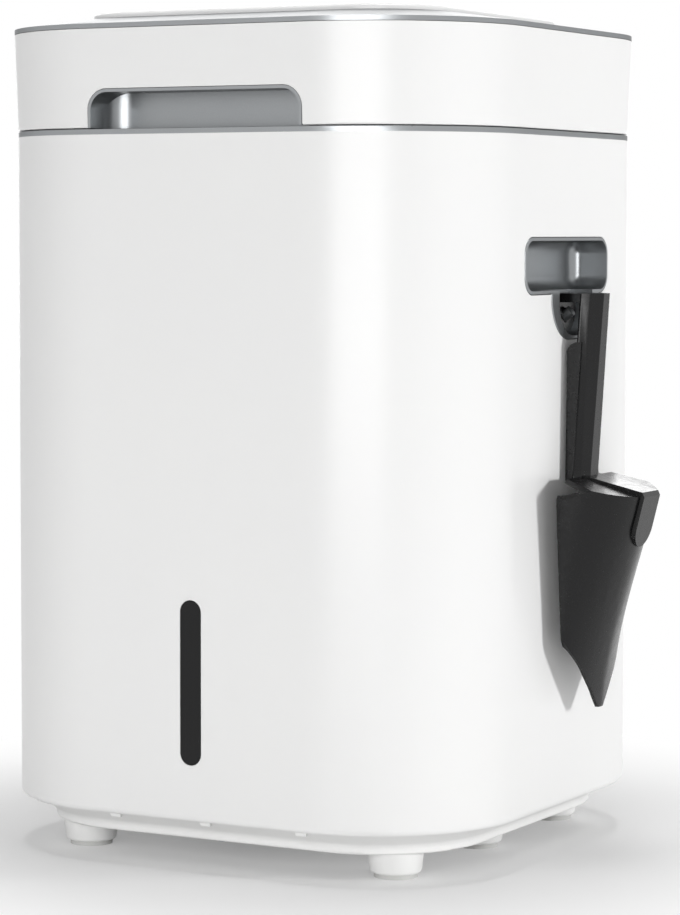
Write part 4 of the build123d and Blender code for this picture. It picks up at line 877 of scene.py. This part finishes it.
# %% A bar
CAP_TOP = 473.6 * MM
SIGN_TOP = CAP_TOP - 0.05 * MM
SIGN_DEPTH = 0.25 * MM
BUTTON_Y = -76.0 * MM
BUTTONS = {"button_power": -26.0 * MM, "button_mode": 0.0, "button_lid": 26.0 * MM}
LINE = 0.5 * MM


def bar(x, y, width, length):
    """A thin upright-sided bar with broken corners, seen from above."""
    bpy.ops.object.select_all(action="DESELECT")
    bpy.ops.mesh.primitive_cube_add(
        size=1, location=(x, y, SIGN_TOP - SIGN_DEPTH / 2), scale=(width, length, SIGN_DEPTH)
    )
    made = start_shaping(bpy.context.object)
    pick_edges(made, lambda a, b: abs(a.z - b.z) > SIGN_DEPTH / 2)
    bpy.ops.mesh.bevel(
        offset=0.3 * min(width, length), offset_type="OFFSET", segments=3, affect="EDGES"
    )
    bpy.ops.object.mode_set(mode="OBJECT")
    return made


# %% [markdown]
# ### A ring
# A ring could be a torus, but its section is square, so a small square is spun round the
# ring's centre. With no window the spin goes clockwise seen from above, so the square
# starts at the left end of the gap. A closed ring has no ends: its first square loses its
# face, and the last corners weld to the first.


# %% A ring
def open_ring(x, y, radius, width, gap):
    """A ring of square section, with a gap at the back in degrees."""
    start = radians(90 - gap / 2)
    bpy.ops.object.select_all(action="DESELECT")
    bpy.ops.mesh.primitive_plane_add(
        size=1,
        location=(x + radius * cos(start), y + radius * sin(start), SIGN_TOP - SIGN_DEPTH / 2),
        rotation=(radians(90), 0, start),
    )
    bpy.context.object.scale = (width, SIGN_DEPTH, 1)
    made = start_shaping(bpy.context.object)
    bpy.ops.mesh.select_all(action="SELECT")
    if not gap:
        bpy.ops.mesh.delete(type="ONLY_FACE")
        bpy.ops.mesh.select_all(action="SELECT")
    bpy.ops.mesh.spin(
        steps=40, angle=radians(360 - gap), center=(x, y, SIGN_TOP), axis=(0, 0, 1)
    )
    bpy.ops.mesh.select_all(action="SELECT")
    bpy.ops.mesh.remove_doubles(threshold=WELD)
    bpy.ops.mesh.normals_make_consistent(inside=False)
    bpy.ops.object.mode_set(mode="OBJECT")
    return made


# %% [markdown]
# ### An arrow head
# A circle of three corners is a triangle. It is extruded upwards, and its three upright
# edges are rounded by a bevel.


# %% An arrow head
def arrow_head(x, y, radius):
    """A thin triangle with rounded corners, pointing to the back."""
    bpy.ops.object.select_all(action="DESELECT")
    bpy.ops.mesh.primitive_circle_add(
        vertices=3, radius=radius, fill_type="NGON", location=(x, y, SIGN_TOP - SIGN_DEPTH)
    )
    made = start_shaping(bpy.context.object)
    bpy.ops.mesh.select_all(action="SELECT")
    bpy.ops.mesh.extrude_region_move(TRANSFORM_OT_translate={"value": (0, 0, SIGN_DEPTH)})
    pick_edges(made, lambda a, b: abs(a.z - b.z) > SIGN_DEPTH / 2)
    bpy.ops.mesh.bevel(offset=0.2 * radius, offset_type="OFFSET", segments=3, affect="EDGES")
    bpy.ops.mesh.select_all(action="SELECT")
    bpy.ops.mesh.normals_make_consistent(inside=False)
    bpy.ops.object.mode_set(mode="OBJECT")
    return made


# %% [markdown]
# ### Letting the signs in
# The shapes of each sign are joined. A copy of the sign, drawn out downwards to twice the
# depth, cuts the pocket, and the sign itself lies in it as its fill, a twentieth of a
# millimetre below the top.

# %% Let the signs into the caps
signs = {
    "button_power": [
        open_ring(BUTTONS["button_power"], BUTTON_Y, 2.5 * MM, LINE, 70.0),
        bar(BUTTONS["button_power"], BUTTON_Y + 2.1 * MM, LINE, 2.6 * MM),
    ],
    "button_mode": [
        bar(BUTTONS["button_mode"], BUTTON_Y + step * MM, width * MM, LINE)
        for step, width in ((1.7, 5.0), (0.0, 3.8), (-1.7, 2.6))
    ],
    "button_lid": [
        arrow_head(BUTTONS["button_lid"], BUTTON_Y + 0.7 * MM, 2.3 * MM),
        bar(BUTTONS["button_lid"], BUTTON_Y - 1.9 * MM, 4.2 * MM, LINE),
    ],
}
for name, shapes in signs.items():
    fill = settle(join(shapes), name + "_sign", sign_white, name)
    pocket = copy_moved(fill, name + "_pocket", (0, 0, 0))
    pick_only(pocket)
    bpy.ops.object.mode_set(mode="EDIT")
    bpy.ops.mesh.select_all(action="SELECT")
    bpy.ops.transform.resize(value=(1, 1, 2), center_override=(0, 0, SIGN_TOP - SIGN_DEPTH))
    bpy.ops.object.mode_set(mode="OBJECT")
    cut(smoothed[name], pocket)
print("signs:", list(signs))

# %% [markdown]
# ## Indicator lights
# A light stands behind each button. It is a low dome: a disc raised in three steps, each
# smaller than the one before, which smooth shading turns into a curve.

# %% Indicator lights
LIGHT_RADIUS = 0.9 * MM
LIGHT_ROOT = 0.1 * MM  # how far the disc starts inside the panel
LIGHT_Y, PANEL_TOP = -66.4 * MM, 472.8 * MM
DOME = ((0.25, 1.0), (0.14, 0.86), (0.08, 0.6))  # rise in mm, and share of the width

bpy.ops.object.select_all(action="DESELECT")
bpy.ops.mesh.primitive_circle_add(
    vertices=28,
    radius=LIGHT_RADIUS,
    fill_type="NGON",
    location=(BUTTONS["button_power"], LIGHT_Y, PANEL_TOP - LIGHT_ROOT),
)
light = start_shaping(bpy.context.object)
bpy.ops.mesh.select_all(action="SELECT")
for rise, share in DOME:
    bpy.ops.mesh.extrude_region_move(TRANSFORM_OT_translate={"value": (0, 0, rise * MM)})
    bpy.ops.transform.resize(
        value=(share, share, 1), center_override=(BUTTONS["button_power"], LIGHT_Y, PANEL_TOP)
    )
light = settle(light, "light_power", lens_green, "lid")
for name in ("button_mode", "button_lid"):
    shift = BUTTONS[name] - BUTTONS["button_power"]
    twin = copy_moved(light, name.replace("button", "light"), (shift, 0, 0))
    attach(twin, "lid")
print("lights:", len(BUTTONS), "domes", 2 * LIGHT_RADIUS / MM, "mm across")

# %% [markdown]
# ## Marks on the rocker switch
# A bar stands for on and a ring for off. They are raised by a tenth of a millimetre, so
# they are made flat, as the signs are, and then turned to lie on the two slopes of the
# rocker, which rests tilted by eight degrees.

# %% Rocker marks
ROCKER_PIVOT = Vector((44.0, 147.5, 146.0)) * MM
ROCKER_TILT = 8.0
SLOPE = 9.34  # of each half of the rocker's face, in degrees
MARK_UP, MARK_OUT = 4.4 * MM, 2.92 * MM  # from the pivot, along and out of the rocker
MARK_RISE = 0.1 * MM


def lay_on_rocker(piece, side):
    """Turns a flat sign onto the upper (1) or the lower (-1) half of the rocker."""
    tilt = radians(ROCKER_TILT)
    out = Vector((0, cos(tilt), sin(tilt)))
    up = Vector((0, -sin(tilt), cos(tilt)))
    lean = radians(ROCKER_TILT - side * SLOPE)
    target = ROCKER_PIVOT + out * MARK_OUT + up * (side * MARK_UP)
    # the sign's top face turns from +Z to the slope's outward direction
    turn = Matrix.Rotation(lean - radians(90), 4, "X")
    piece.matrix_world = (
        Matrix.Translation(target) @ turn @ Matrix.Translation((0, 0, MARK_RISE - SIGN_TOP))
    )


on_mark = bar(0, 0, 0.6 * MM, 3.2 * MM)
lay_on_rocker(on_mark, 1)
settle(on_mark, "rocker_on_mark", sign_white, "rocker")
off_mark = open_ring(0, 0, 1.3 * MM, 0.45 * MM, 0.0)
lay_on_rocker(off_mark, -1)
settle(off_mark, "rocker_off_mark", sign_white, "rocker")
print("rocker marks:", on_mark.name, off_mark.name)

# %% [markdown]
# ## The camera
# A long lens far away keeps the upright edges almost parallel, which suits a tall box.
# It looks a little down from the front right, so the front, the right side and a sliver of
# the lid's sloping trim all show.

# %% Camera
VIEW_AZIMUTH = radians(28.7)
VIEW_ELEVATION = radians(4.1)
VIEW_ROLL = radians(0.1)
VIEW_DISTANCE = 1.8645
VIEW_HEIGHT = 0.235
VIEW_SHIFT = (0.0078, -0.0158)
FOCAL_PIXELS = 3200.0
IMAGE_HEIGHT = 915.0
SENSOR = 36.0

outward = Vector(
    (
        sin(VIEW_AZIMUTH) * cos(VIEW_ELEVATION),
        -cos(VIEW_AZIMUTH) * cos(VIEW_ELEVATION),
        sin(VIEW_ELEVATION),
    )
)
level_right = Vector((cos(VIEW_AZIMUTH), sin(VIEW_AZIMUTH), 0.0))
level_up = outward.cross(level_right)
cam_right = level_right * cos(VIEW_ROLL) + level_up * sin(VIEW_ROLL)
cam_up = level_up * cos(VIEW_ROLL) - level_right * sin(VIEW_ROLL)
aim = Vector((0, 0, VIEW_HEIGHT)) + cam_right * VIEW_SHIFT[0] + cam_up * VIEW_SHIFT[1]

bpy.ops.object.camera_add()
camera = bpy.context.object
camera.name = "catalogue_camera"
camera.data.sensor_width = SENSOR
camera.data.lens = FOCAL_PIXELS * SENSOR / IMAGE_HEIGHT
camera.data.clip_end = 20.0
turn = Matrix((cam_right, cam_up, outward)).transposed().to_4x4()
camera.matrix_world = Matrix.Translation(aim + outward * VIEW_DISTANCE) @ turn
bpy.context.scene.camera = camera
print("lens in mm:", round(camera.data.lens, 2))

# %% [markdown]
# ## The floor
# The floor is matt white paint with hardly any gloss, so that it shows the machine's shadow
# and no mirror image of it. It is far larger than the machine, so its edge is never seen.

# %% Floor
FLOOR_SIZE = 14.0

bpy.ops.mesh.primitive_plane_add(size=FLOOR_SIZE)
floor = bpy.context.object
floor.name = "studio_floor"
floor_paint = bpy.data.materials.new("matt_floor_paint")
floor_paint.use_nodes = True
tree = floor_paint.node_tree
shader = tree.nodes["Principled BSDF"]
shader.inputs["Base Color"].default_value = colour("F2F2F2")
shader.inputs["Roughness"].default_value = 0.9
shader.inputs["Specular IOR Level"].default_value = 0.1
floor.data.materials.append(floor_paint)
floor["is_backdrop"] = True
print("floor:", floor.name, FLOOR_SIZE, "m wide")

# %% [markdown]
# ### Where the floor turns white
# Lamps fade with distance, so further out the floor would turn grey and meet the backdrop
# in a line. To the camera, to mirrors and through glass it therefore passes into plain
# white in a ring around the machine, and a share of that white keeps the shadow light. All
# other rays meet the same matt paint everywhere.

# %% White beyond the shadow
FADE_START, FADE_END = 0.19, 0.4
NEAR_WHITE = 0.22  # share of plain white under the machine

place = node(tree, "ShaderNodeTexCoord").outputs["Object"]
reach = node(tree, "ShaderNodeVectorMath", {0: place}, operation="LENGTH")
fade = node(
    tree,
    "ShaderNodeMapRange",
    {
        "Value": reach.outputs["Value"],
        "From Min": FADE_START,
        "From Max": FADE_END,
        "To Min": NEAR_WHITE,
    },
    interpolation_type="SMOOTHSTEP",
)
rays = node(tree, "ShaderNodeLightPath")
mirrors = node(
    tree,
    "ShaderNodeMath",
    {0: rays.outputs["Is Glossy Ray"], 1: rays.outputs["Is Transmission Ray"]},
    operation="MAXIMUM",
)
seen = node(
    tree,
    "ShaderNodeMath",
    {0: mirrors.outputs[0], 1: rays.outputs["Is Camera Ray"]},
    operation="MAXIMUM",
)
share = node(
    tree,
    "ShaderNodeMath",
    {0: seen.outputs[0], 1: fade.outputs["Result"]},
    operation="MULTIPLY",
)
plain_white = node(tree, "ShaderNodeEmission", {"Color": colour("FFFFFF"), "Strength": 1.0})
blend = node(
    tree,
    "ShaderNodeMixShader",
    {0: share.outputs[0], 1: shader.outputs[0], 2: plain_white.outputs[0]},
)
tree.links.new(blend.outputs[0], tree.nodes["Material Output"].inputs["Surface"])
print("white from", FADE_END, "m out")

# %% [markdown]
# ### A floor to look through from below
# A camera under the floor would see nothing but its back. There the paint gives way to a
# transparent shader, for camera rays alone, so the light on the machine stays the same.

# %% Clear from below
underside = node(tree, "ShaderNodeNewGeometry").outputs["Backfacing"]
from_below = node(
    tree,
    "ShaderNodeMath",
    {0: rays.outputs["Is Camera Ray"], 1: underside},
    operation="MULTIPLY",
)
clear = node(tree, "ShaderNodeBsdfTransparent")
through = node(
    tree,
    "ShaderNodeMixShader",
    {0: from_below.outputs[0], 1: blend.outputs[0], 2: clear.outputs[0]},
)
tree.links.new(through.outputs[0], tree.nodes["Material Output"].inputs["Surface"])
print("floor shader ends in:", through.name)

# %% [markdown]
# ## The light
# White plastic on white needs light with direction, or its form goes flat. A large soft
# light stands at the front right, with a low strip under it for the feet. A small, harder
# one lights the right side from behind, so the scoop's shadow falls forward on the wall. It
# is hidden from mirrors, where it would draw a hard streak. Weaker ones hang overhead and
# behind, so that the back and the left are lit as well.


# %% Lamps
def softbox(name, place, look_at, width, height, power):
    """A rectangular area light at place that faces look_at."""
    bpy.ops.object.light_add(type="AREA", location=place)
    lamp = bpy.context.object
    lamp.name = name
    lamp.data.shape = "RECTANGLE"
    lamp.data.size = width
    lamp.data.size_y = height
    lamp.data.energy = power
    facing = (Vector(place) - Vector(look_at)).to_track_quat("Z", "Y").to_matrix().to_4x4()
    lamp.matrix_world = Matrix.Translation(place) @ facing
    return lamp


softbox("front_softbox", (0.7, -2.7, 0.6), (0, 0, 0.25), 2.0, 1.6, 34.0)
side = softbox("side_softbox", (2.45, 0.75, 0.45), (0.15, 0.0, 0.24), 0.3, 0.3, 31.0)
side.visible_glossy = False
softbox("low_softbox", (0.5, -2.4, 0.25), (0, 0, 0.1), 1.6, 0.4, 8.0)
softbox("top_softbox", (0.0, 0.05, 2.4), (0, 0.05, 0.3), 0.9, 0.9, 26.0)
softbox("back_softbox", (-1.5, 2.6, 0.9), (0, 0, 0.25), 1.8, 1.6, 24.0)

# %% [markdown]
# ## The backdrop
# The world is plain white to the camera, to mirrors and through glass, so metal shows the
# same bright studio as the eye sees. To all other rays it is dim, which keeps the shadows.

# %% World
AMBIENT = 0.15
world = bpy.data.worlds.new("white_studio")
bpy.context.scene.world = world
world.use_nodes = True
tree = world.node_tree
background = tree.nodes["Background"]
background.inputs["Color"].default_value = colour("FFFFFF")
rays = node(tree, "ShaderNodeLightPath")
mirrors = node(
    tree,
    "ShaderNodeMath",
    {0: rays.outputs["Is Glossy Ray"], 1: rays.outputs["Is Transmission Ray"]},
    operation="MAXIMUM",
)
seen = node(
    tree,
    "ShaderNodeMath",
    {0: mirrors.outputs[0], 1: rays.outputs["Is Camera Ray"]},
    operation="MAXIMUM",
)
strength = node(
    tree, "ShaderNodeMapRange", {"Value": seen.outputs[0], "To Min": AMBIENT, "To Max": 1.0}
)
tree.links.new(strength.outputs["Result"], background.inputs["Strength"])
bpy.context.scene.view_settings.view_transform = "Standard"
print("view transform:", bpy.context.scene.view_settings.view_transform)

# %% [markdown]
# ## The dressed box
# Both boxes are measured, and how far the dressed object reaches past the solids' box
# on each side is printed.

# %% Print the growth of the box
low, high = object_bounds()
growth = [round(v / MM, 2) for v in (*(low - cad_low), *(high - cad_high))]
print("the dressed box against the solids' box, in mm:", growth)
